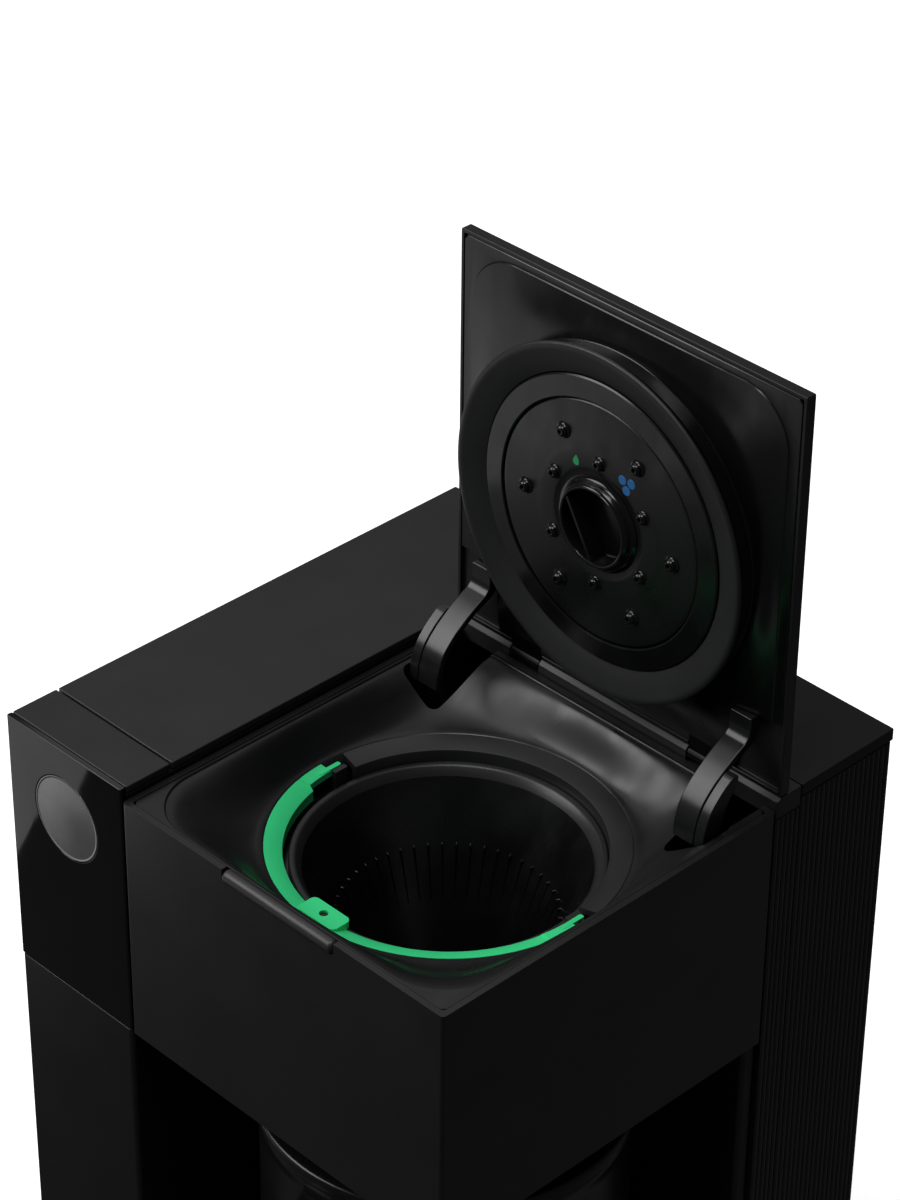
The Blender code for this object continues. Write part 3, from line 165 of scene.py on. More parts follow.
def shades(colour, spread):
    return [c * (1 - spread) for c in colour], [c * (1 + spread) for c in colour]


def moulded(name, colour, roughness, grain=0.00003, pitch=2600, spread=0.12, **sockets):
    """Moulded plastic: a fine spark-eroded grain, and patches that shine a little differently."""
    made = material(name, colour, roughness, **sockets)
    tint(made, noise(made, 45, 4), *shades(colour, spread))
    vary(made, "Roughness", noise(made, 28, 5), roughness - 0.05, roughness + 0.05)
    bump(made, [(noise(made, pitch, 2), 0.35, grain), (noise(made, 60, 2), 0.15, 0.0001)])
    return made


def polished(name, colour, roughness, waves=0.00012, **sockets):
    """Polished plastic: slow waves left by the mould, faint wiping marks and a little dust."""
    made = material(name, colour, roughness, **sockets)
    tint(made, noise(made, 30, 3), *shades(colour, 0.15))
    marks = noise(made, 90, 6, (1.0, 0.25, 0.6))
    vary(made, "Roughness", marks, roughness * 0.75, roughness * 1.35)
    bump(made, [(noise(made, 22, 1), 0.12, waves), (noise(made, 5200, 1), 0.05, 0.000008)])
    return made


def brushed(name, colour, roughness, stretch):
    """Metal with fine lines along one direction."""
    made = material(name, colour, roughness, 1.0)
    lines = noise(made, 900, 3, stretch)
    tint(made, lines, *shades(colour, 0.12))
    vary(made, "Roughness", lines, roughness - 0.07, roughness + 0.09)
    bump(made, [(lines, 0.25, 0.00002)])
    return made


def board_material():
    """Green circuit board with lighter tracks and solder pads."""
    made = material("circuit_board", (0.02, 0.16, 0.07), 0.4)
    links = made.node_tree.links
    place = made.node_tree.nodes.new("ShaderNodeTexCoord")
    tracks = node(made, "ShaderNodeTexBrick", Scale=160.0)
    tracks.inputs["Mortar Size"].default_value = 0.035
    tracks.inputs["Color1"].default_value = (0.015, 0.13, 0.055, 1)
    tracks.inputs["Color2"].default_value = (0.02, 0.17, 0.07, 1)
    tracks.inputs["Mortar"].default_value = (0.05, 0.30, 0.13, 1)
    links.new(place.outputs["Object"], tracks.inputs["Vector"])
    shader = made.node_tree.nodes["Principled BSDF"]
    links.new(tracks.outputs["Color"], shader.inputs["Base Color"])
    bump(made, [(tracks.outputs["Fac"], 0.3, 0.00005)])
    return made


SATIN = moulded("satin_black_plastic", (0.0060, 0.0060, 0.0062), 0.42)
TOP_SATIN = moulded("charcoal_top_plastic", (0.0180, 0.0180, 0.0187), 0.46, pitch=3400)
HEAD_SATIN = moulded("head_plastic", (0.0120, 0.0120, 0.0125), 0.36, pitch=3400)
LID_SATIN = moulded("lid_skin_plastic", (0.0090, 0.0090, 0.0093), 0.42, pitch=3400)
LIP_SATIN = moulded("lip_plastic", (0.030, 0.030, 0.031), 0.40, 0.00001)
# The tank lid's black is darker than the other black plastics: painted shade standing in for the
# shadow the open lid casts on the tank top.
TANK_LID_PAINTED_SHADE = moulded("tank_lid_painted_shade", (0.0045, 0.0045, 0.0047), 0.56, pitch=3400)
# The collar grey is lighter than the basket's black: partly the rim's own lighter grey, partly
# painted light that lifts the shade the green handle casts on the rim.
COLLAR_PAINTED_LIGHT = moulded("collar_plastic_painted_light", (0.0190, 0.0190, 0.0195), 0.34, 0.00002)
BASKET_BLACK = polished("basket_plastic", (0.0030, 0.0030, 0.0031), 0.26, 0.00002)
SHOWER_BLACK = polished("shower_plastic", (0.0060, 0.0060, 0.0062), 0.30, 0.00003)
LINER_BLACK = polished("liner_plastic", (0.0050, 0.0050, 0.0053), 0.22, 0.00003)
GLOSS = polished("gloss_black_plastic", (0.0045, 0.0045, 0.0048), 0.16, 0.00006)
DECK_GLOSS = polished("deck_gloss_plastic", (0.0100, 0.0100, 0.0104), 0.32, 0.00002)
PANEL_GLASS = polished("panel_glass", (0.0012, 0.0012, 0.0013), 0.055, 0.000003)
ARM_BLACK = moulded("arm_black", (0.0100, 0.0100, 0.0105), 0.27, 0.00001)
TANK_PLASTIC = polished("smoked_tank_plastic", (0.0140, 0.0140, 0.0150), 0.24)
DIAL_METAL = moulded("dark_metallic_dial", (0.33, 0.33, 0.335), 0.20, 0.000004, Metallic=0.8)
BLACK_STEEL = brushed("blackened_steel", (0.020, 0.020, 0.021), 0.38, (0.05, 1.0, 1.0))
STEEL = brushed("brushed_steel", (0.55, 0.55, 0.56), 0.30, (0.05, 1.0, 1.0))
ALUMINIUM = moulded("cast_aluminium", (0.45, 0.45, 0.46), 0.42, 0.00008, 700, Metallic=1.0)
GASKET_RUBBER = moulded("gasket_silicone", (0.0150, 0.0150, 0.0155), 0.46, 0.00004, 1700)
RUBBER = moulded("black_rubber", (0.0110, 0.0110, 0.0110), 0.75, 0.00008, 1400)
GREEN = moulded(
    "mint_green_plastic", (0.050, 0.80, 0.290), 0.5, 0.00002, spread=0.05, Specular_IOR_Level=0.2
)
SILICONE = moulded("white_silicone", (0.62, 0.62, 0.60), 0.42, 0.00003, 1500)
CARAFE_BLACK = moulded("carafe_black", (0.0085, 0.0085, 0.0090), 0.30, 0.00002)
BOARD = board_material()
DROP_GREEN = moulded("printed_green", (0.020, 0.36, 0.14), 0.40, 0.00001, spread=0.05)
DOT_BLUE = moulded("printed_blue", (0.020, 0.16, 0.44), 0.40, 0.00001, spread=0.05)


# ---------------------------------------------------------------- mesh helpers
def piece(name, bm, made, body, nodes=(), sharp=SHARP_ANGLE, bevel=0.0, segments=3):
    """Turns bm, in row-frame metres, into a finished piece that rides on a body."""
    bmesh.ops.remove_doubles(bm, verts=bm.verts, dist=1e-7)
    bmesh.ops.recalc_face_normals(bm, faces=bm.faces)
    for face in bm.faces:
        face.smooth = True
    for edge in bm.edges:
        if len(edge.link_faces) == 2:
            edge.smooth = math.degrees(edge.calc_face_angle(0)) < sharp
    mesh = bpy.data.meshes.new(name)
    bm.to_mesh(mesh)
    bm.free()
    made_object = bpy.data.objects.new(name, mesh)
    bpy.context.scene.collection.objects.link(made_object)
    mesh.materials.append(made)
    if bevel:
        soften(made_object, bevel, segments, sharp)
    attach(made_object, body)
    if nodes:
        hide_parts(*nodes)
    return made_object


def soften(target, width, segments=3, angle=SHARP_ANGLE):
    """Rounds the sharp edges and keeps the flats flat."""
    step = target.modifiers.new("bevel", "BEVEL")
    step.width = width
    step.segments = segments
    step.limit_method = "ANGLE"
    step.angle_limit = math.radians(angle)
    step.harden_normals = True
    step.miter_outer = "MITER_ARC"


def carve(bm, tools, operation="DIFFERENCE"):
    """The mesh bm with each tool mesh cut out of it or joined on, as a new mesh."""
    base = bpy.data.objects.new("carve_base", bpy.data.meshes.new("carve_base"))
    bmesh.ops.recalc_face_normals(bm, faces=bm.faces)
    bm.to_mesh(base.data)
    bm.free()
    bpy.context.scene.collection.objects.link(base)
    helpers = [base]
    for tool in tools:
        helper = bpy.data.objects.new("carve_tool", bpy.data.meshes.new("carve_tool"))
        bmesh.ops.recalc_face_normals(tool, faces=tool.faces)
        tool.to_mesh(helper.data)
        tool.free()
        bpy.context.scene.collection.objects.link(helper)
        step = base.modifiers.new("carve", "BOOLEAN")
        step.solver = "EXACT"
        step.operation = operation
        step.object = helper
        helpers.append(helper)
    graph = bpy.context.evaluated_depsgraph_get()
    result = bmesh.new()
    result.from_mesh(base.evaluated_get(graph).to_mesh())
    for helper in helpers:
        mesh = helper.data
        bpy.data.objects.remove(helper)
        bpy.data.meshes.remove(mesh)
    bmesh.ops.dissolve_limit(
        result, angle_limit=math.radians(0.2), verts=result.verts, edges=result.edges
    )
    return result


def box_mesh(low, high):
    bm = bmesh.new()
    bmesh.ops.create_cube(bm, size=1.0)
    size = [b - a for a, b in zip(low, high)]
    middle = [(a + b) / 2 for a, b in zip(low, high)]
    bmesh.ops.transform(bm, matrix=Matrix.Diagonal((*size, 1.0)), verts=bm.verts)
    bmesh.ops.translate(bm, vec=middle, verts=bm.verts)
    return bm


def rounded_rectangle(x0, y0, x1, y1, radius, steps=8):
    points = []
    for x, y, start in ((x1, y0, -90), (x1, y1, 0), (x0, y1, 90), (x0, y0, 180)):
        cx = x - math.copysign(radius, x - (x0 + x1) / 2)
        cy = y - math.copysign(radius, y - (y0 + y1) / 2)
        for i in range(steps + 1):
            angle = math.radians(start + 90 * i / steps)
            points.append((cx + radius * math.cos(angle), cy + radius * math.sin(angle)))
    return points


def prism_mesh(outline, axis, low, high):
    order = {0: (1, 2), 1: (0, 2), 2: (0, 1)}[axis]
    bm = bmesh.new()
    rings = []
    for along in (low, high):
        ring = []
        for point in outline:
            place = [along, along, along]
            place[order[0]], place[order[1]] = point
            ring.append(bm.verts.new(place))
        rings.append(ring)
    count = len(outline)
    for i in range(count):
        j = (i + 1) % count
        bm.faces.new((rings[0][i], rings[0][j], rings[1][j], rings[1][i]))
    bm.faces.new(rings[0])
    bm.faces.new(rings[1])
    return bm


def slab_mesh(low, high, radius=2.0 * MM, steps=8):
    outline = rounded_rectangle(low[0], low[1], high[0], high[1], radius, steps)
    return prism_mesh(outline, 2, low[2], high[2])


def loft_mesh(sections, wrap=True):
    """Faces between neighbouring closed sections; with wrap, the last joins the first."""
    bm = bmesh.new()
    rows = [[bm.verts.new(point) for point in section] for section in sections]
    pairs = list(zip(rows, rows[1:])) + ([(rows[-1], rows[0])] if wrap else [])
    for a, b in pairs:
        for k in range(len(a)):
            m = (k + 1) % len(a)
            bm.faces.new((a[k], a[m], b[m], b[k]))
    if not wrap:
        bm.faces.new(rows[0])
        bm.faces.new(rows[-1])
    return bm


def lathe_mesh(profile, centre, axis=2, segments=128):
    """Turns (radius, height) points about an axis. Radius 0 at both ends closes it."""
    solid = profile[0][0] == 0
    bm = bmesh.new()
    first, second = {0: (1, 2), 1: (2, 0), 2: (0, 1)}[axis]

    def place(radius, height, angle):
        point = list(centre)
        point[axis] += height
        point[first] += radius * math.cos(angle)
        point[second] += radius * math.sin(angle)
        return point

    angles = [math.tau * i / segments for i in range(segments)]
    body = profile[1:-1] if solid else profile
    rows = [[bm.verts.new(place(r, h, angle)) for r, h in body] for angle in angles]
    ends = [bm.verts.new(place(0, profile[i][1], 0)) for i in (0, -1)] if solid else None
    for i in range(segments):
        a, b = rows[i], rows[(i + 1) % segments]
        for k in range(len(body) - 1 if solid else len(body)):
            m = (k + 1) % len(body)
            bm.faces.new((a[k], a[m], b[m], b[k]))
        if solid:
            bm.faces.new((ends[0], a[0], b[0]))
            bm.faces.new((ends[1], b[-1], a[-1]))
    return bm


def rod_mesh(radius, start, end, segments=48):
    axis = max(range(3), key=lambda k: abs(end[k] - start[k]))
    length = end[axis] - start[axis]
    profile = [(0, 0), (radius, 0), (radius, length), (0, length)]
    return lathe_mesh(profile, start, axis, segments)


def add_to(target, bm):
    mesh = bpy.data.meshes.new("part")
    bm.to_mesh(mesh)
    bm.free()
    target.from_mesh(mesh)
    bpy.data.meshes.remove(mesh)


def fillet(points, radius, steps):
    """Rounds the corners of a closed 2-D line, each by the radius or what its sides allow."""
    made = []
    count = len(points)
    for i, here in enumerate(points):
        here = Vector(here)
        before, after = Vector(points[i - 1]), Vector(points[(i + 1) % count])
        back, ahead = before - here, after - here
        cut = min(radius, back.length * 0.45, ahead.length * 0.45)
        a, b = here + back.normalized() * cut, here + ahead.normalized() * cut
        for k in range(steps + 1):
            t = k / steps
            point = (1 - t) ** 2 * a + 2 * t * (1 - t) * here + t * t * b
            made.append((point.x, point.y))
    return made


def mm(points):
    return [(r * MM, z * MM) for r, z in points]


def square_reach(angle, half_x, half_y, corner):
    """Distance from the centre to a rounded rectangle's edge, in the direction of the angle."""
    c, s = abs(math.cos(angle)), abs(math.sin(angle))
    reach = min(half_x / c if c > 1e-9 else 1e9, half_y / s if s > 1e-9 else 1e9)
    px, py = reach * c, reach * s
    kx, ky = half_x - corner, half_y - corner
    if px > kx and py > ky:
        along = kx * c + ky * s
        across = kx * kx + ky * ky - along * along
        reach = along + math.sqrt(max(corner * corner - across, 0))
    return reach


def turned_open(bm):
    """A mesh built as the closed lid, turned up a quarter turn about the hinge."""
    hinge = Vector((CX, HINGE_Y, HINGE_Z))
    spin = Matrix.Translation(hinge) @ Matrix.Rotation(-math.pi / 2, 4, "X")
    bmesh.ops.transform(bm, matrix=spin @ Matrix.Translation(-hinge), verts=bm.verts)
    return bm


def mirrored(inner, outer):
    return ((CX - outer, CX - inner), (CX + inner, CX + outer))


def smooth_curve(points, steps=6):
    """A Catmull-Rom curve through 2-D points."""
    made = []
    padded = [points[0]] + list(points) + [points[-1]]
    for p0, p1, p2, p3 in zip(padded, padded[1:], padded[2:], padded[3:]):
        for i in range(steps):
            t = i / steps
            made.append(
                tuple(
                    0.5
                    * (
                        2 * b
                        + (c - a) * t
                        + (2 * a - 5 * b + 4 * c - d) * t * t
                        + (3 * b - a - 3 * c + d) * t**3
                    )
                    for a, b, c, d in zip(p0, p1, p2, p3)
                )
            )
    made.append(tuple(points[-1]))
    return made


# ---------------------------------------------------------------- camera, light and floor
CAMERA_PLACE = (0.81873, -0.78888, 1.12155)
CAMERA_ANGLES = (45.58, 33.66, 0.53)  # azimuth, elevation and roll, in degrees
CAMERA_LENS, CAMERA_SENSOR = 116.22, 36.0  # mm
WORLD_STRENGTH = 0.05
FLOOR_HALF, FLOOR_GLOW = 9.0, 0.85
LIGHTS = (  # name, place, target, width, height, watts
    ("key_softbox", (-1.12, -1.02, 1.42), (0, 0, 0.3), 1.15, 1.15, 18),
    ("overhead_softbox", (-0.72, 0.30, 1.78), (0, 0, 0.3), 1.4, 1.7, 4.2),
    ("top_light", (0.12, -0.42, 1.75), (0, 0, 0.3), 0.6, 0.6, 6.5),
    ("back_softbox", (-0.9, 2.0, 0.16), (0, 0.1, 0.18), 1.6, 0.36, 7),
    ("bounce_card", (-0.73, -0.30, 0.002), (-0.73, -0.30, 1.0), 0.69, 1.3, 1.5),
)


def make_camera():
    azimuth, elevation, roll = (math.radians(angle) for angle in CAMERA_ANGLES)
    back = Vector(
        (
            math.sin(azimuth) * math.cos(elevation),
            -math.cos(azimuth) * math.cos(elevation),
            math.sin(elevation),
        )
    )
    right = Vector((math.cos(azimuth), math.sin(azimuth), 0))
    up = back.cross(right)
    right, up = (
        right * math.cos(roll) + up * math.sin(roll),
        up * math.cos(roll) - right * math.sin(roll),
    )
    data = bpy.data.cameras.new("camera")
    data.lens = CAMERA_LENS
    data.sensor_width = CAMERA_SENSOR
    data.clip_start, data.clip_end = 0.05, 60.0
    camera = bpy.data.objects.new("camera", data)
    turn = Matrix((right, up, back)).transposed().to_4x4()
    camera.matrix_world = Matrix.Translation(CAMERA_PLACE) @ turn
    bpy.context.scene.collection.objects.link(camera)
    bpy.context.scene.camera = camera


def area_light(name, place, target, width, height, power):
    data = bpy.data.lights.new(name, "AREA")
    data.shape = "RECTANGLE"
    data.size, data.size_y = width, height
    data.energy = power
    light = bpy.data.objects.new(name, data)
    aim = (Vector(target) - Vector(place)).to_track_quat("-Z", "Y")
    light.matrix_world = Matrix.Translation(place) @ aim.to_matrix().to_4x4()
    light.visible_camera = False
    bpy.context.scene.collection.objects.link(light)


def make_studio():
    world = bpy.data.worlds.new("studio")
    world.use_nodes = True
    world.node_tree.nodes["Background"].inputs["Color"].default_value = (1, 1, 1, 1)
    world.node_tree.nodes["Background"].inputs["Strength"].default_value = WORLD_STRENGTH
    bpy.context.scene.world = world
    bpy.context.scene.view_settings.view_transform = "Standard"

    floor = bmesh.new()
    bmesh.ops.create_grid(floor, x_segments=1, y_segments=1, size=FLOOR_HALF)
    mesh = bpy.data.meshes.new("floor")
    floor.to_mesh(mesh)
    floor.free()
    ground = bpy.data.objects.new("floor", mesh)
    pale = material("pale_floor", (0.90, 0.90, 0.90), 0.9)
    shader = pale.node_tree.nodes["Principled BSDF"]
    shader.inputs["Emission Color"].default_value = (1, 1, 1, 1)
    shader.inputs["Emission Strength"].default_value = FLOOR_GLOW
    mesh.materials.append(pale)
    ground.visible_glossy = False
    ground.visible_diffuse = False
    bpy.context.scene.collection.objects.link(ground)

    for light in LIGHTS:
        area_light(*light)


# ---------------------------------------------------------------- housing
def make_housing():
    base_lo, base_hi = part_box("base_shell")
    pad_lo, pad_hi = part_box("carafe_pad")
    shell = slab_mesh(base_lo, base_hi, 4 * MM)
    tools = [
        slab_mesh(
            (base_lo.x + WALL, base_lo.y + WALL, base_lo.z - MM),
            (base_hi.x - WALL, base_hi.y - WALL, base_hi.z - 3.4 * MM),
            3 * MM,
        ),
        rod_mesh(74 * MM, (CX, CY, base_hi.z - 1.6 * MM), (CX, CY, base_hi.z + MM), 128),
    ]
    piece(
        "base_moulding", carve(shell, tools), SATIN, "housing", ("base_shell",),
        bevel=0.7 * MM,
    )
    profile = [(0, pad_lo.z), (73.6 * MM, pad_lo.z), (73.6 * MM, pad_hi.z - 0.5 * MM)]
    profile += [(73.1 * MM, pad_hi.z)]
    for k in range(6):
        r = (66 - 11 * k) * MM
        groove = ((1.0, 0), (0.6, -0.45), (-0.6, -0.45), (-1.0, 0))
        profile += [(r + dr * MM, pad_hi.z + dz * MM) for dr, dz in groove]
    profile += [(0, pad_hi.z)]
    piece(
        "carafe_mat", lathe_mesh(profile, (CX, CY, 0)), RUBBER, "housing", ("carafe_pad",)
    )
    for name in ("foot_front_left", "foot_front_right", "foot_rear_left", "foot_rear_right"):
        lo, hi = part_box(name)
        centre = ((lo.x + hi.x) / 2, (lo.y + hi.y) / 2, 0)
        outline = [(0, 0.4), (4.5, 0.4), (5.2, 0), (7.6, 0), (8.6, 0.5), (9, 1.4)]
        outline += [(9, 4.0), (0, 4.0)]
        piece(
            name.replace("foot", "pad_foot"), lathe_mesh(mm(outline), centre, 2, 48), RUBBER,
            "housing", (name,),
        )


def make_column():
    window_lo = (LEFT + 9 * MM, FRONT, glass_lo.z + 10 * MM)
    window_hi = (column_hi.x - 9 * MM, FRONT + 8 * MM, TOP - 9 * MM)
    tools = [
        slab_mesh(
            (LEFT + WALL, glass_hi.y + 0.3 * MM + WALL, column_lo.z + WALL),
            (column_hi.x - WALL, BACK - WALL, TOP),
            1.5 * MM,
        ),
        box_mesh(
            (LEFT - MM, FRONT - MM, glass_lo.z - 0.6 * MM),
            (column_hi.x + MM, glass_hi.y + 0.3 * MM, TOP),
        ),
        box_mesh(window_lo, window_hi),
        rod_mesh(6 * MM, (DIAL_X, BACK - 6 * MM, 48 * MM), (DIAL_X, BACK + MM, 48 * MM)),
    ]
    column = carve(slab_mesh(column_lo, column_hi, 2 * MM), tools)
    piece(
        "column_moulding", column, SATIN, "housing", ("column_shell",),
        bevel=0.35 * MM,
    )

    glass = carve(
        slab_mesh(glass_lo, glass_hi, 0.9 * MM),
        [rod_mesh(17.5 * MM, (DIAL_X, FRONT - MM, DIAL_Z), (DIAL_X, FRONT + 4 * MM, DIAL_Z), 96)],
    )
    piece(
        "control_panel", glass, PANEL_GLASS, "housing", ("front_panel_glass",),
        bevel=0.35 * MM,
    )
    for node_name, name in (("column_top_cap", "top_cap"), ("column_top_cover", "top_cover")):
        lo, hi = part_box(node_name)
        if name == "top_cap":
            hi.y -= 0.3 * MM
        else:
            lo.y += 0.3 * MM
        piece(
            name, slab_mesh(lo, hi, 0.8 * MM), TOP_SATIN, "housing", (node_name,),
            bevel=0.45 * MM,
        )

    profile = [(0, 0.12), (8.0, 0.12), (16.3, 0.12), (16.7, 0.12), (16.9, 0.02), (17.2, 0.02)]
    profile += [(17.33, 0.1), (17.4, 0.3)]
    profile += [(17.4, 3.0), (3.1, 3.0), (3.1, 1.6), (0, 1.6)]
    piece(
        "dial_cap", lathe_mesh(mm(profile), (DIAL_X, FRONT, DIAL_Z), 1, 128), DIAL_METAL, "dial",
        ("control_dial",),
    )


def make_head():
    wall = 2.5 * MM
    notch_half, notch_drop = 28.5 * MM, 5.4 * MM
    tools = [
        slab_mesh(
            (HEAD_LEFT + wall, FRONT + wall, HEAD_BOTTOM - MM),
            (RIGHT - wall, HEAD_BACK - wall, RIM_Z + MM),
            1.5 * MM,
        )
    ]
    notch = rounded_rectangle(
        CX - notch_half, RIM_Z - notch_drop, CX + notch_half, RIM_Z + 8 * MM, 2.2 * MM
    )
    tools.append(prism_mesh(notch, 1, FRONT - MM, FRONT + wall + MM))
    for x0, x1 in mirrored(*POCKET):
        tools.append(
            box_mesh((x0, HEAD_BACK - wall - MM, RIM_Z - 40 * MM), (x1, HEAD_BACK + MM, RIM_Z + MM))
        )
    shell = carve(slab_mesh(head_lo, head_hi, 1.6 * MM), tools)
    piece(
        "head_moulding", shell, HEAD_SATIN, "housing", ("head_shell",),
        bevel=0.6 * MM,
    )


def make_deck():
    """The glossy tray round the opening, with its dish, bevel, well, ledge and finger lip."""
    edge = 2.8 * MM
    half_x, half_y = (RIGHT - HEAD_LEFT) / 2 - edge, (HEAD_BACK - FRONT) / 2 - edge
    top = RIM_Z - 0.2 * MM
    thick = 2.0 * MM
    sections = []
    for i in range(SECTIONS):
        angle = math.tau * (i + 0.5) / SECTIONS
        outer = square_reach(angle, half_x, half_y, 1.5 * MM)
        rim = square_reach(angle, half_x - 1.2 * MM, half_y - 1.2 * MM, 24 * MM)
        run = rim - OPENING_RADIUS
        upper = []
        for k in range(17):
            t = 1 - k / 17
            ease = t * t * (3 - 2 * t)
            height = OPENING_EDGE + (top - 0.8 * MM - OPENING_EDGE) * ease
            upper.append((OPENING_RADIUS + run * t, height))
        profile = [(outer, top), (rim + 0.6 * MM, top), (rim + 0.25 * MM, top - 0.25 * MM)]
        profile += upper
        profile += [(OPENING_RADIUS + 0.2 * MM, OPENING_EDGE)]
        profile += [(OPENING_RADIUS - 0.2 * MM, OPENING_EDGE - 0.15 * MM)]
        profile += [(63.9 * MM, OPENING_EDGE - 2.7 * MM), (63.6 * MM, OPENING_EDGE - 3.2 * MM)]
        profile += [(63.6 * MM, OPENING_EDGE - 11.9 * MM), (63.3 * MM, OPENING_EDGE - 12.2 * MM)]
        profile += [(59.4 * MM, OPENING_EDGE - 12.4 * MM), (59.2 * MM, OPENING_EDGE - 12.6 * MM)]
        profile += [(59.2 * MM, OPENING_EDGE - 14.6 * MM), (65.6 * MM, OPENING_EDGE - 14.6 * MM)]
        profile += [(65.6 * MM, OPENING_EDGE - 3.8 * MM)]
        profile += [(r + 0.6 * thick, z - thick) for r, z in reversed(upper[2:])]
        profile += [(outer, top - thick - 1.2 * MM)]
        c, s = math.cos(angle), math.sin(angle)
        sections.append([(CX + r * c, CY + r * s, z) for r, z in profile])
    deck = loft_mesh(sections)
    tools = []
    for x0, x1 in mirrored(*POCKET):
        outline = rounded_rectangle(x0, HEAD_BACK - 34 * MM, x1, HEAD_BACK + 8 * MM, 4 * MM, 10)
        tools.append(prism_mesh(outline, 2, RIM_Z - 32 * MM, TOP))
    deck = carve(deck, tools)
    piece("tray", deck, DECK_GLOSS, "housing", ("brew_deck",), sharp=28)

    lip_radius, reach = 2.65 * MM, 28.2 * MM
    lip_y, lip_z = FRONT + 1.5 * MM, RIM_Z - 2.75 * MM
    cap = []
    for k in range(9):
        angle = math.pi / 2 * k / 8
        cap.append((lip_radius * math.sin(angle), lip_radius * (1 - math.cos(angle)) * 0.7))
    profile = cap + [(r, 2 * reach - along) for r, along in reversed(cap)]
    lip = lathe_mesh(profile, (CX - reach, lip_y, lip_z), 0, 48)
    piece("finger_lip", lip, LIP_SATIN, "housing", sharp=60)


# along one rib's pitch: share of the pitch, share of the rib's depth
RIB_SHAPE = ((0.10, 0.0), (0.20, 0.75), (0.35, 1.0), (0.65, 1.0), (0.80, 0.75), (0.90, 0.0))


def ribbed_outline(start, end, count, surface):
    """Points along a wall, from start to end, with round upright ribs on its outer face."""
    step = (end - start) / count
    points = []
    for i in range(count):
        base = start + i * step
        points.append((surface - RIB_DEPTH, base))
        for share, lift in RIB_SHAPE:
            points.append((surface - RIB_DEPTH * (1 - lift), base + share * step))
    points.append((surface - RIB_DEPTH, end))
    return points


def make_back():
    spine_lo, spine_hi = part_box("spine_shell")
    outline = ribbed_outline(spine_lo.y, spine_hi.y, SPINE_RIBS, RIGHT)
    outline += [(HEAD_LEFT, spine_hi.y), (HEAD_LEFT, spine_lo.y)]
    hollow = box_mesh(
        (HEAD_LEFT + WALL, spine_lo.y - MM, spine_lo.z + WALL),
        (RIGHT - 3.4 * MM, spine_hi.y - 1.6 * MM, spine_hi.z + MM),
    )
    spine = carve(prism_mesh(outline, 2, spine_lo.z, spine_hi.z), [hollow])
    piece("spine", spine, TANK_PLASTIC, "housing", ("spine_shell",), sharp=50)

    side = ribbed_outline(tank_lo.y, BACK - 1.2 * MM, TANK_SIDE_RIBS, RIGHT)
    rear = ribbed_outline(HEAD_LEFT + 1.2 * MM, RIGHT - 1.2 * MM, TANK_REAR_RIBS, BACK)
    outline = side + [(x, y) for y, x in reversed(rear)]
    outline += [(HEAD_LEFT, BACK - 1.2 * MM), (HEAD_LEFT, tank_lo.y)]
    hollow = slab_mesh(
        (HEAD_LEFT + 2.6 * MM, tank_lo.y + WALL, tank_lo.z + 4 * MM),
        (RIGHT - 2.9 * MM, BACK - 2.9 * MM, TOP),
        4 * MM,
    )
    middle_y = (tank_lo.y + BACK) / 2
    port = rod_mesh(6 * MM, (CX, middle_y, tank_lo.z - MM), (CX, middle_y, tank_lo.z + 6 * MM))
    tank = carve(prism_mesh(outline, 2, tank_lo.z, tank_hi.z), [hollow, port])
    piece("tank_body", tank, TANK_PLASTIC, "tank", ("water_tank",), sharp=50)

    lo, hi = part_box("tank_lid")
    piece(
        "tank_cover", slab_mesh(lo, hi, 1.0 * MM), TANK_LID_PAINTED_SHADE, "tank_cover", ("tank_lid",),
        bevel=0.5 * MM,
    )

    tools = []
    for x0, x1 in mirrored(37.5 * MM, 52.5 * MM):
        tools.append(
            box_mesh((x0, rail_lo.y - MM, HINGE_Z - 3.4 * MM), (x1, HINGE_Y + 3.6 * MM, TOP + MM))
        )
    for x0, x1 in mirrored(32.9 * MM, 57.1 * MM):
        tools.append(rod_mesh(1.56 * MM, (x0, HINGE_Y, HINGE_Z), (x1, HINGE_Y, HINGE_Z), 24))
    low, high = (HINGE_Y - 2.75 * MM, HINGE_Z + 1.5 * MM), (HINGE_Y - 1.05 * MM, TOP)
    corner = [low, high, (high[0], TOP + MM), (low[0] - MM, TOP + MM), (low[0] - MM, low[1])]
    tools.append(prism_mesh(corner, 0, HEAD_LEFT - MM, RIGHT + MM))
    rail = carve(slab_mesh(rail_lo, rail_hi, 0.9 * MM), tools)
    piece("back_rail", rail, TOP_SATIN, "housing", ("hinge_rail",), bevel=0.3 * MM)

    lo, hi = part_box("bay_wall")
    piece(
        "bay_back", slab_mesh(lo, hi, 2 * MM), SATIN, "housing", ("bay_wall",),
        bevel=0.5 * MM,
    )


# ---------------------------------------------------------------- lid
def bowl(t):
    """The liner's rise from the seal to its border: nearly straight, softer at the ends."""
    return t + 0.035 * math.sin(math.tau * (t - 0.5))


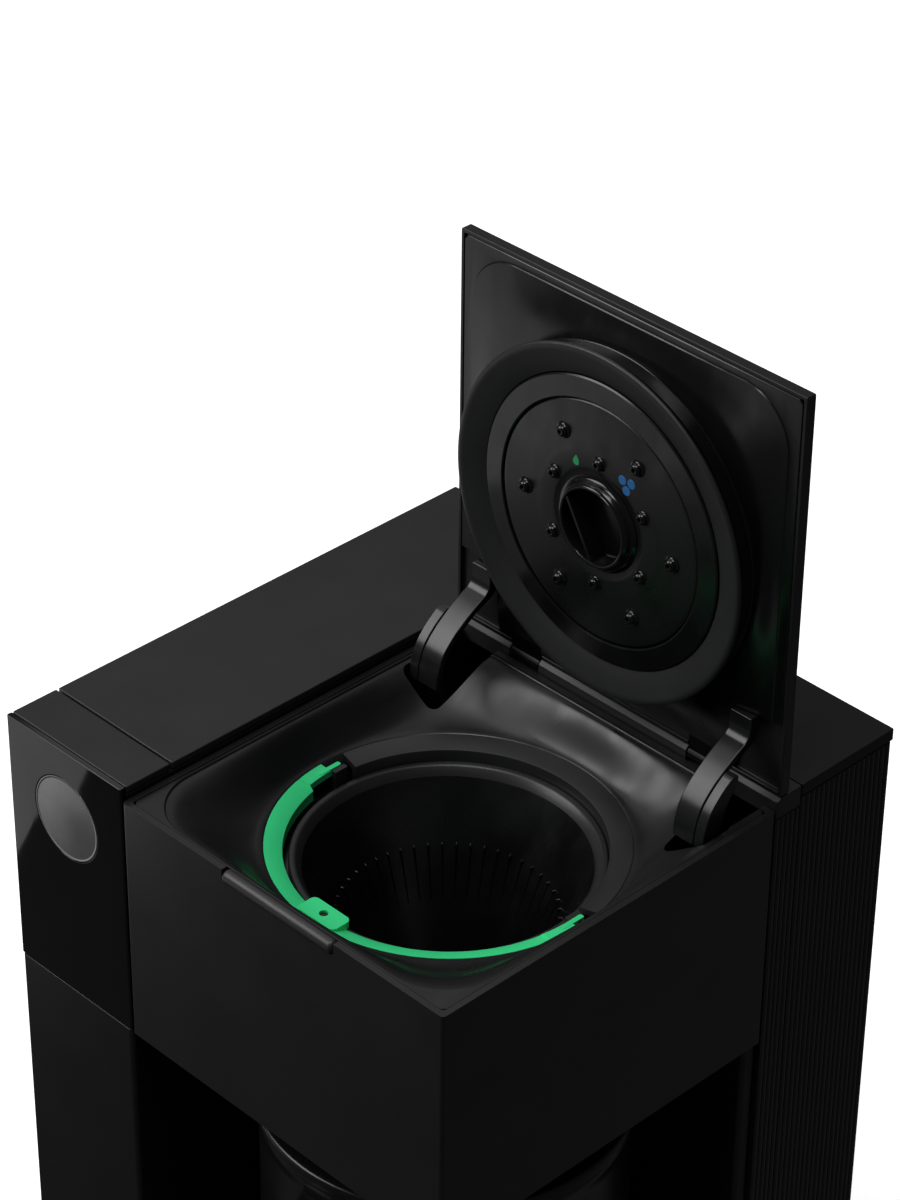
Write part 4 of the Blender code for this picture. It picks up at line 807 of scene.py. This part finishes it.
def make_lid():
    back_edge = HEAD_BACK - 0.1 * MM
    rim = RIM_Z + 0.5 * MM
    frame_width = 1.5 * MM
    tools = [
        slab_mesh(
            (HEAD_LEFT + frame_width, FRONT + frame_width, rim - MM),
            (RIGHT - frame_width, back_edge - frame_width, TOP - 2.8 * MM),
            0.8 * MM,
        )
    ]
    for x0, x1 in mirrored(37.2 * MM, 52.8 * MM):
        low, high = (x0, back_edge - 3 * MM, rim - MM), (x1, back_edge + MM, TOP - 2.8 * MM)
        tools.append(box_mesh(low, high))
    skin = carve(slab_mesh((HEAD_LEFT, FRONT, rim), (RIGHT, back_edge, TOP), 0.7 * MM), tools)
    piece(
        "lid_skin", turned_open(skin), LID_SATIN, "lid", ("lid_plate",),
        bevel=0.3 * MM,
    )

    half_x = (RIGHT - HEAD_LEFT) / 2 - frame_width - 0.35 * MM
    half_y = (HEAD_BACK - FRONT) / 2 - frame_width - 0.35 * MM
    back = LID_BACK
    thick = 1.8 * MM
    neck, panel = 66.6 * MM, rim - 3.7 * MM
    sections = []
    for i in range(SECTIONS):
        angle = math.tau * (i + 0.5) / SECTIONS
        outer = square_reach(angle, half_x, half_y, 0.8 * MM)
        bulge = square_reach(angle, half_x - 4.6 * MM, half_y - 3.2 * MM, 21 * MM)
        lower = []
        for k in range(15):
            t = 1 - k / 14
            lower.append((neck + (bulge - neck) * t, panel + (rim - 0.5 * MM - panel) * bowl(t)))
        profile = [(outer, back), (outer, rim + 0.3 * MM), (outer - 0.3 * MM, rim)]
        profile += [(bulge + 0.75 * MM, rim), (bulge + 0.35 * MM, rim - 0.1 * MM)] + lower
        profile += [(neck - 0.2 * MM, panel - 0.2 * MM), (neck - 0.2 * MM, SEAT), (57.2 * MM, SEAT)]
        profile += [(56.7 * MM, SEAT - 0.4 * MM), (56.6 * MM, FACE + 0.9 * MM)]
        profile += [(56.1 * MM, FACE + 0.4 * MM), (48.4 * MM, FACE - 0.05 * MM)]
        profile += [(47.9 * MM, FACE + 0.2 * MM), (47.8 * MM, FACE + 4.4 * MM)]
        profile += [(56.8 * MM, SEAT + thick + 0.6 * MM), (neck - thick, SEAT + thick)]
        profile += [(neck - thick, panel + thick)]
        inside = neck + (bulge - neck) * 0.5
        profile += [(inside, back - 0.7 * MM), (inside + 0.5 * MM, back)]
        c, s = math.cos(angle), math.sin(angle)
        sections.append([(CX + r * c, CY + r * s, z) for r, z in profile])
    liner = loft_mesh(sections)
    tools = []
    behind = HEAD_BACK + 2 * MM
    for x0, x1 in mirrored(59.4 * MM, 82.6 * MM):  # room for the arms
        low, high = (x0, HEAD_BACK - 30.6 * MM, TOP - 30 * MM), (x1, behind, back + MM)
        tools.append(box_mesh(low, high))
    for x0, x1 in mirrored(37.7 * MM, 52.3 * MM):  # room for the leaves
        low, high = (x0, HINGE_Y - 26.4 * MM, HINGE_Z - 2.0 * MM), (x1, behind, HINGE_Z + 0.3 * MM)
        tools.append(box_mesh(low, high))
    liner = carve(liner, tools)
    piece(
        "lid_underside", turned_open(liner), LINER_BLACK, "lid", ("lid_liner",),
        sharp=28,
    )

    crest = (TOP - 19.3 * MM) / MM
    seat = SEAT / MM - 0.2
    ring = [(57.0, seat), (57.0, seat - 0.9), (57.1, seat - 1.2), (57.4, seat - 1.35)]
    ring += [(62.0, crest + 2.75), (66.2, crest + 1.35), (67.4, crest + 1.05), (68.2, crest + 1.05)]
    ring += [(68.8, crest + 1.3), (69.1, crest + 1.75), (69.15, crest + 2.25), (68.9, crest + 2.75)]
    ring += [(68.2, crest + 3.2), (66.4, crest + 4.0), (64.0, seat)]
    ring = mm(ring)
    piece(
        "lid_seal", turned_open(lathe_mesh(ring, (CX, CY, 0), 2, 192)), GASKET_RUBBER, "lid",
        ("lid_gasket",),
    )
    make_shower()


def make_shower():
    profile = [(16.2, 0.3), (20.5, 0.3), (21.0, 0.1), (22.2, 0.0), (28.0, 0.0), (29.5, 0.12)]
    profile += [(31.0, 0.3), (45.8, 0.3), (46.9, 0.45), (47.4, 0.9), (47.4, 2.6), (16.2, 2.6)]
    plate = lathe_mesh([(r * MM, FACE + z * MM) for r, z in profile], (CX, CY, 0), 2, 160)
    piece(
        "shower_face", turned_open(plate), SHOWER_BLACK, "lid", ("shower_plate",)
    )
    nozzle = [(0.0, -1.2), (0.75, -1.25), (0.85, -2.05), (1.15, -2.2), (1.6, -2.05), (2.05, -1.55)]
    nozzle += [(2.25, -0.9), (2.35, -0.35), (2.75, -0.05), (3.3, 0.1), (3.3, 0.6), (0, 0.6)]
    jets = bmesh.new()
    for radius, first in NOZZLE_RINGS:
        for i in range(6):
            angle = math.radians(first + 60 * i)
            centre = (CX + radius * MM * math.cos(angle), CY + radius * MM * math.sin(angle), FACE)
            add_to(jets, lathe_mesh(mm(nozzle), centre, 2, 32))
    piece("shower_nozzles", turned_open(jets), GLOSS, "lid", sharp=50)

    profile = [(0, 4.2), (13.9, 4.2), (14.3, 3.8), (14.4, -3.0), (14.6, -3.4), (15.0, -3.6)]
    profile += [(15.4, -3.55), (15.6, -3.2), (15.9, -3.0), (16.3, -2.9), (16.6, -2.5)]
    profile += [(16.9, -1.4), (17.2, -0.7), (17.8, -0.25), (18.8, -0.05)]
    profile += [(18.8, 0.1), (15.8, 0.2), (15.8, 5.8), (0, 5.8)]
    selector = lathe_mesh([(r * MM, FACE + z * MM) for r, z in profile], (CX, CY, 0), 2, 96)
    piece(
        "flow_ring", turned_open(selector), GLOSS, "selector", ("flow_selector",)
    )
    reach = 12.6 * MM
    bar = box_mesh(
        (CX - 8.0 * MM, CY - reach, FACE - 3.2 * MM), (CX - 6.6 * MM, CY + reach, FACE + 4.4 * MM)
    )
    spin = Matrix.Rotation(math.radians(GRIP_ANGLE), 4, "Z")
    centre = Matrix.Translation((CX, CY, 0))
    bmesh.ops.transform(bar, matrix=centre @ spin @ centre.inverted(), verts=bar.verts)
    piece("flow_grip", turned_open(bar), GLOSS, "selector", bevel=0.3 * MM)

    # printed marks: three dots and a drop
    drops = bmesh.new()
    for dx, dy in ((11.0, -23.2), (15.3, -23.3), (13.1, -19.7)):
        at = (CX + dx * MM, CY + dy * MM, FACE + 0.05 * MM)
        dot = mm([(0, -0.12), (1.8, -0.12), (1.9, 0), (1.9, 0.1), (0, 0.1)])
        add_to(drops, lathe_mesh(dot, at, 2, 32))
    piece("mark_three", turned_open(drops), DOT_BLUE, "lid")
    outline = []
    for i in range(40):
        t = math.tau * i / 40
        across, along = -11.4 + 1.9 * math.sin(t) * math.sin(t / 2), -21.6 - 2.1 * math.cos(t)
        outline.append((CX + across * MM, CY + along * MM))
    drop = prism_mesh(outline, 2, FACE - 0.07 * MM, FACE + 0.15 * MM)
    piece("mark_one", turned_open(drop), DROP_GREEN, "lid")


# an arm's outer edge with the lid open: (y, z) from the hinge, in mm
ARM_CURVE = (
    (-33.6, -7.6),
    (-32.9, -0.8),
    (-30.2, 6.4),
    (-25.3, 12.2),
    (-19.8, 16.7),
    (-13.8, 20.7),
    (-8.2, 23.7),
)


def make_hinges():
    def world(points):
        return [(HINGE_Y + y * MM, HINGE_Z + z * MM) for y, z in points]

    inner = [(-6.0, 21.2), (-12.6, 18.2), (-18.4, 14.4), (-23.4, 10.2), (-27.8, 5.0)]
    inner += [(-30.3, -1.4), (-31.0, -7.6)]
    strip = smooth_curve(ARM_CURVE) + [(-6.4, 25.6), (-5.9, 29.0), (-5.9, 33.3), (-0.9, 33.3)]
    strip += [(-0.9, 27.0), (-3.2, 23.4)] + smooth_curve(inner)
    cheek = smooth_curve(ARM_CURVE[:5])
    cheek += [(-18.2, 17.4), (-16.8, 17.3), (-16.1, 16.2), (-16.3, 14.6)]
    cheek += smooth_curve([(-17.6, 11.8), (-21.4, 6.2), (-23.7, 0.4), (-24.8, -4.0), (-25.2, -7.6)])
    for side, (x0, x1) in zip(("left", "right"), mirrored(60 * MM, 70 * MM)):
        piece(
            f"lid_arm_{side}", prism_mesh(world(strip), 0, x0, x1), ARM_BLACK, "lid",
            (f"hinge_arm_{side}",), sharp=40, bevel=0.5 * MM,
        )
    for side, (x0, x1) in zip(("left", "right"), mirrored(70.3 * MM, 74.6 * MM)):
        piece(
            f"lid_cheek_{side}", prism_mesh(world(cheek), 0, x0, x1), ARM_BLACK, "lid",
            (f"hinge_cheek_{side}",), sharp=40, bevel=0.9 * MM,
        )


# ---------------------------------------------------------------- basket
def make_basket():
    rim = (TOP - 29.5 * MM) / MM
    base = (HEAD_BOTTOM + 8 * MM) / MM
    profile = [(57.2, rim), (61.5, rim), (61.9, rim - 0.15), (62.0, rim - 0.5)]
    profile += [(62.0, rim - 2.2), (61.6, rim - 2.6), (57.8, rim - 3.0), (27.0, base + 8)]
    profile += [(24.0, base), (12.0, base), (12.0, base - 5), (9.0, base - 5), (9.0, base)]
    profile += [(4.2, base), (4.2, base + 2.0), (22.6, base + 2.0), (25.0, base + 9)]
    profile += [(40.6, rim - 23), (52.3, rim - 0.5), (52.5, rim - 0.1), (52.8, rim + 0.3)]
    profile += [(54.4, rim + 2.8), (54.9, rim + 3.2), (55.4, rim + 3.3), (56.7, rim + 3.3)]
    profile += [(57.2, rim + 2.9)]
    body = lathe_mesh(mm(profile), (CX, CY, 0), 2, 192)
    piece(
        "basket_cone", body, BASKET_BLACK, "basket", ("brew_basket",), sharp=30
    )
    band = [(52.45, rim - 0.15), (52.75, rim + 0.35), (54.33, rim + 2.86), (54.85, rim + 3.28)]
    band += [(55.4, rim + 3.4), (56.75, rim + 3.4), (57.25, rim + 2.95), (57.25, rim + 1.5)]
    band += [(56.9, rim + 1.5), (56.5, rim + 2.9), (55.0, rim + 2.7), (53.1, rim - 0.15)]
    ring = lathe_mesh(mm(band), (CX, CY, 0), 2, 192)
    piece("basket_rim_band", ring, COLLAR_PAINTED_LIGHT, "basket", sharp=30)
    edge = OPENING_EDGE / MM
    section = [(57.6, edge - 2.0), (57.75, edge - 1.65), (58.1, edge - 1.5), (65.5, edge - 0.22)]
    section += [(65.9, edge - 0.2), (65.95, edge - 0.4), (65.2, edge - 1.0), (63.2, edge - 3.0)]
    section += [(60.2, edge - 3.6), (60.2, rim - 0.2), (57.6, rim - 0.2)]
    rows = []
    for i in range(97):
        angle = math.radians(8 + 164 * i / 96)
        c, s = math.cos(angle), math.sin(angle)
        rows.append([(CX + r * MM * c, CY + r * MM * s, z * MM) for r, z in section])
    collar = loft_mesh(rows, wrap=False)
    piece("basket_collar", collar, COLLAR_PAINTED_LIGHT, "basket", sharp=32)
    ribs = bmesh.new()
    line = [(24.6, base + 7.0), (40.05, rim - 23.7), (39.6, rim - 22.9), (39.9, rim - 22.1)]
    line += [(41.4, rim - 21.9)]
    low = [(25.5, base + 7.0), (41.0, rim - 23.3), (41.4, rim - 22.9), (41.6, rim - 22.7)]
    low += [(41.8, rim - 22.5)]
    across_rib = ((1, 0.5), (0.35, 0.45), (0, 0.2), (0, -0.2), (0.35, -0.45), (1, -0.5))
    for i in range(BASKET_RIBS):
        angle = math.tau * (i + 0.5) / BASKET_RIBS
        out = Vector((math.cos(angle), math.sin(angle), 0))
        side = Vector((-math.sin(angle), math.cos(angle), 0))
        sections = []
        for (r0, z0), (r1, z1) in zip(line, low):
            section = []
            for share, across in across_rib:
                r, z = r0 + (r1 - r0) * share, z0 + (z1 - z0) * share
                section.append(Vector((CX, CY, z * MM)) + out * r * MM + side * across * MM)
            sections.append(section)
        add_to(ribs, loft_mesh(sections, wrap=False))
    piece("basket_ribs", ribs, BASKET_BLACK, "basket", sharp=50)
    ears = bmesh.new()
    pivot_y, pivot_z = HANDLE_PIVOT_Y, OPENING_EDGE - 1.7 * MM
    for sign in (-1, 1):
        x0, x1 = sorted((CX + sign * 58.6 * MM, CX + sign * 60.8 * MM))
        low, high = (x0, CY - 0.6 * MM, (rim - 0.8) * MM), (x1, CY + 5.6 * MM, pivot_z + 1.0 * MM)
        add_to(ears, slab_mesh(low, high, 0.5 * MM))
        start = (CX + sign * 59.6 * MM, pivot_y, pivot_z)
        end = (CX + sign * 62.7 * MM, pivot_y, pivot_z)
        add_to(ears, rod_mesh(0.9 * MM, start, end, 24))
    piece("basket_ears", ears, COLLAR_PAINTED_LIGHT, "basket")


def make_bail():
    """The C-shaped lifting handle, flush with the collar, with a stepped end on each side."""
    top = OPENING_EDGE + 0.3 * MM
    band = [(59.3, -3.2), (59.2, -2.95), (59.45, -2.75), (65.5, -0.62), (65.85, -0.55)]
    band += [(65.9, -0.7), (65.3, -1.2), (63.2, -3.35), (63.2, -7.4), (59.5, -7.4), (59.2, -7.1)]
    end = [(60.9, -1.35), (60.85, -1.1), (61.1, -0.95), (65.5, -0.62), (65.85, -0.55), (65.9, -0.7)]
    end += [(65.3, -1.2), (63.2, -3.35), (63.2, -3.9), (61.1, -3.9), (60.95, -3.7)]
    stops = [-179, -176.5, -174, -171, -169, -168.4] + [-168 + 156 * i / 120 for i in range(121)]
    rows = []
    for degrees in stops + [-11.6, -11, -9, -6, -3.5, -1]:
        c, s = math.cos(math.radians(degrees)), math.sin(math.radians(degrees))
        section = end if degrees < -168.2 or degrees > -11.8 else band
        rows.append([(CX + r * MM * c, CY + r * MM * s, top + z * MM) for r, z in section])
    bail = loft_mesh(rows, wrap=False)
    tab_inner, half = 55.8 * MM, 9.4 * MM
    outline = rounded_rectangle(CX - half, CY - 64.8 * MM, CX + half, CY - tab_inner, 2.2 * MM)
    joins = [prism_mesh(outline, 2, top - 2.8 * MM, top - 0.05 * MM)]
    pivot_y, pivot_z = HANDLE_PIVOT_Y, top - 2.0 * MM
    for sign in (-1, 1):
        x0, x1 = sorted((CX + sign * 61.1 * MM, CX + sign * 63.1 * MM))
        low, high = (x0, CY - 6 * MM, pivot_z - 1.8 * MM), (x1, CY + 4.7 * MM, top - 0.7 * MM)
        joins.append(slab_mesh(low, high, 0.7 * MM, 4))
    bail = carve(bail, joins, "UNION")
    hole_y = CY - tab_inner - 4.5 * MM
    cuts = [rod_mesh(1.7 * MM, (CX, hole_y, top - 12 * MM), (CX, hole_y, TOP), 40)]
    for sign in (-1, 1):
        start = (CX + sign * 57 * MM, pivot_y, pivot_z)
        end = (CX + sign * 66 * MM, pivot_y, pivot_z)
        cuts.append(rod_mesh(0.98 * MM, start, end, 24))
    bail = carve(bail, cuts)
    plug = rod_mesh(1.64 * MM, (CX, hole_y, top - 2.7 * MM), (CX, hole_y, top - 0.9 * MM), 40)
    piece("handle_hole_plug", plug, SATIN, "bail")
    piece("lift_handle", bail, GREEN, "bail", ("basket_handle",), sharp=30)


# ---------------------------------------------------------------- carafe
def make_carafe():
    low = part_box("carafe_body")[0].z / MM
    top = CARAFE_TOP / MM
    profile = [(0, low + 2.5), (56, low + 2.5), (57.6, low + 2.2), (58, low), (65.5, low)]
    profile += [(67.5, low + 0.3), (69.2, low + 1.6), (69.9, low + 4.0), (70, low + 6)]
    profile += [(70, top - 15), (70.15, top - 13.5), (71.3, top - 9.2), (71.6, top - 8)]
    profile += [(71.6, top - 5.6), (71.3, top - 5.2), (52, top - 5.2), (50, top - 8)]
    profile += [(50, top - 22), (62, top - 36), (63.5, top - 50), (63.5, low + 18)]
    profile += [(58, low + 10), (0, low + 8)]
    piece(
        "carafe_vessel", lathe_mesh(mm(profile), (CX, CY, 0)), CARAFE_BLACK, "carafe",
        ("carafe_body",), sharp=40,
    )
    lid = [(4, top + 10.9), (5, top + 11.2), (17.5, top + 14.8), (19.5, top + 15.0)]
    lid += [(21.8, top + 14.6), (22.8, top + 13.6), (27, top + 8.5), (30, top + 7.4)]
    lid += [(44, top + 4.5), (69.6, top + 0.2), (71.2, top - 0.1), (72.0, top - 0.5)]
    lid += [(72.4, top - 1.2)]
    lid += [(72.4, top - 4.5), (72.0, top - 4.9), (50.4, top - 4.9), (49.6, top - 8)]
    lid += [(49.6, top - 20), (46.5, top - 20), (46.5, top - 3.0), (24, top + 3.5), (4, top + 3.5)]
    piece(
        "carafe_cap", lathe_mesh(mm(lid), (CX, CY, 0)), CARAFE_BLACK, "carafe_cover",
        ("carafe_lid",), sharp=40,
    )
    lo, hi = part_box("carafe_handle")
    start, end = hi.y, lo.y
    grip = 13 * MM
    outline = [
        (start, hi.z),
        (end + 10 * MM, hi.z),
        (end + 3 * MM, hi.z - 3 * MM),
        (end, hi.z - 10 * MM),
        (end + 2 * MM, lo.z + 12 * MM),
        (end + 7 * MM, lo.z + 5 * MM),
        (start, lo.z),
        (start, lo.z + 12 * MM),
        (end + grip + 3 * MM, lo.z + 16 * MM),
        (end + grip + 1 * MM, lo.z + 20 * MM),
        (end + grip, hi.z - 20 * MM),
        (end + grip + 3 * MM, hi.z - 16 * MM),
        (start, hi.z - 16 * MM),
    ]
    grip_mesh = prism_mesh(fillet(outline, 5 * MM, 4), 0, lo.x, hi.x)
    piece(
        "carafe_grip", grip_mesh, CARAFE_BLACK, "carafe", ("carafe_handle",),
        sharp=40, bevel=2.4 * MM, segments=5,
    )


# ---------------------------------------------------------------- CAD nodes shown as they are
KEPT = (
    (SATIN, ("bottom_plate", "head_floor", "display_module", "encoder_body")),
    (BOARD, ("control_board", "power_board")),
    (ALUMINIUM, ("water_pump", "flow_heater")),
    (SILICONE, ("inlet_tube", "pump_tube", "riser_tube", "lid_channel")),
    (SILICONE, ("drip_stop_valve", "tank_valve")),
    (RUBBER, ("cord_gland", "tank_socket")),
    (BLACK_STEEL, ("hinge_leaf_left", "hinge_leaf_right", "hinge_pin_left", "hinge_pin_right")),
    (TANK_PLASTIC, ("tank_valve_cage",)),
    (STEEL, ("dial_shaft", "drip_stop_spring", "tank_valve_spring")),
)


def finish_kept_nodes():
    for made, names in KEPT:
        for name in names:
            target = frame["nodes"][name]
            target.data.materials.clear()
            target.data.materials.append(made)


make_camera()
make_studio()
make_housing()
make_column()
make_head()
make_deck()
make_back()
make_lid()
make_hinges()
make_basket()
make_bail()
make_carafe()
finish_kept_nodes()
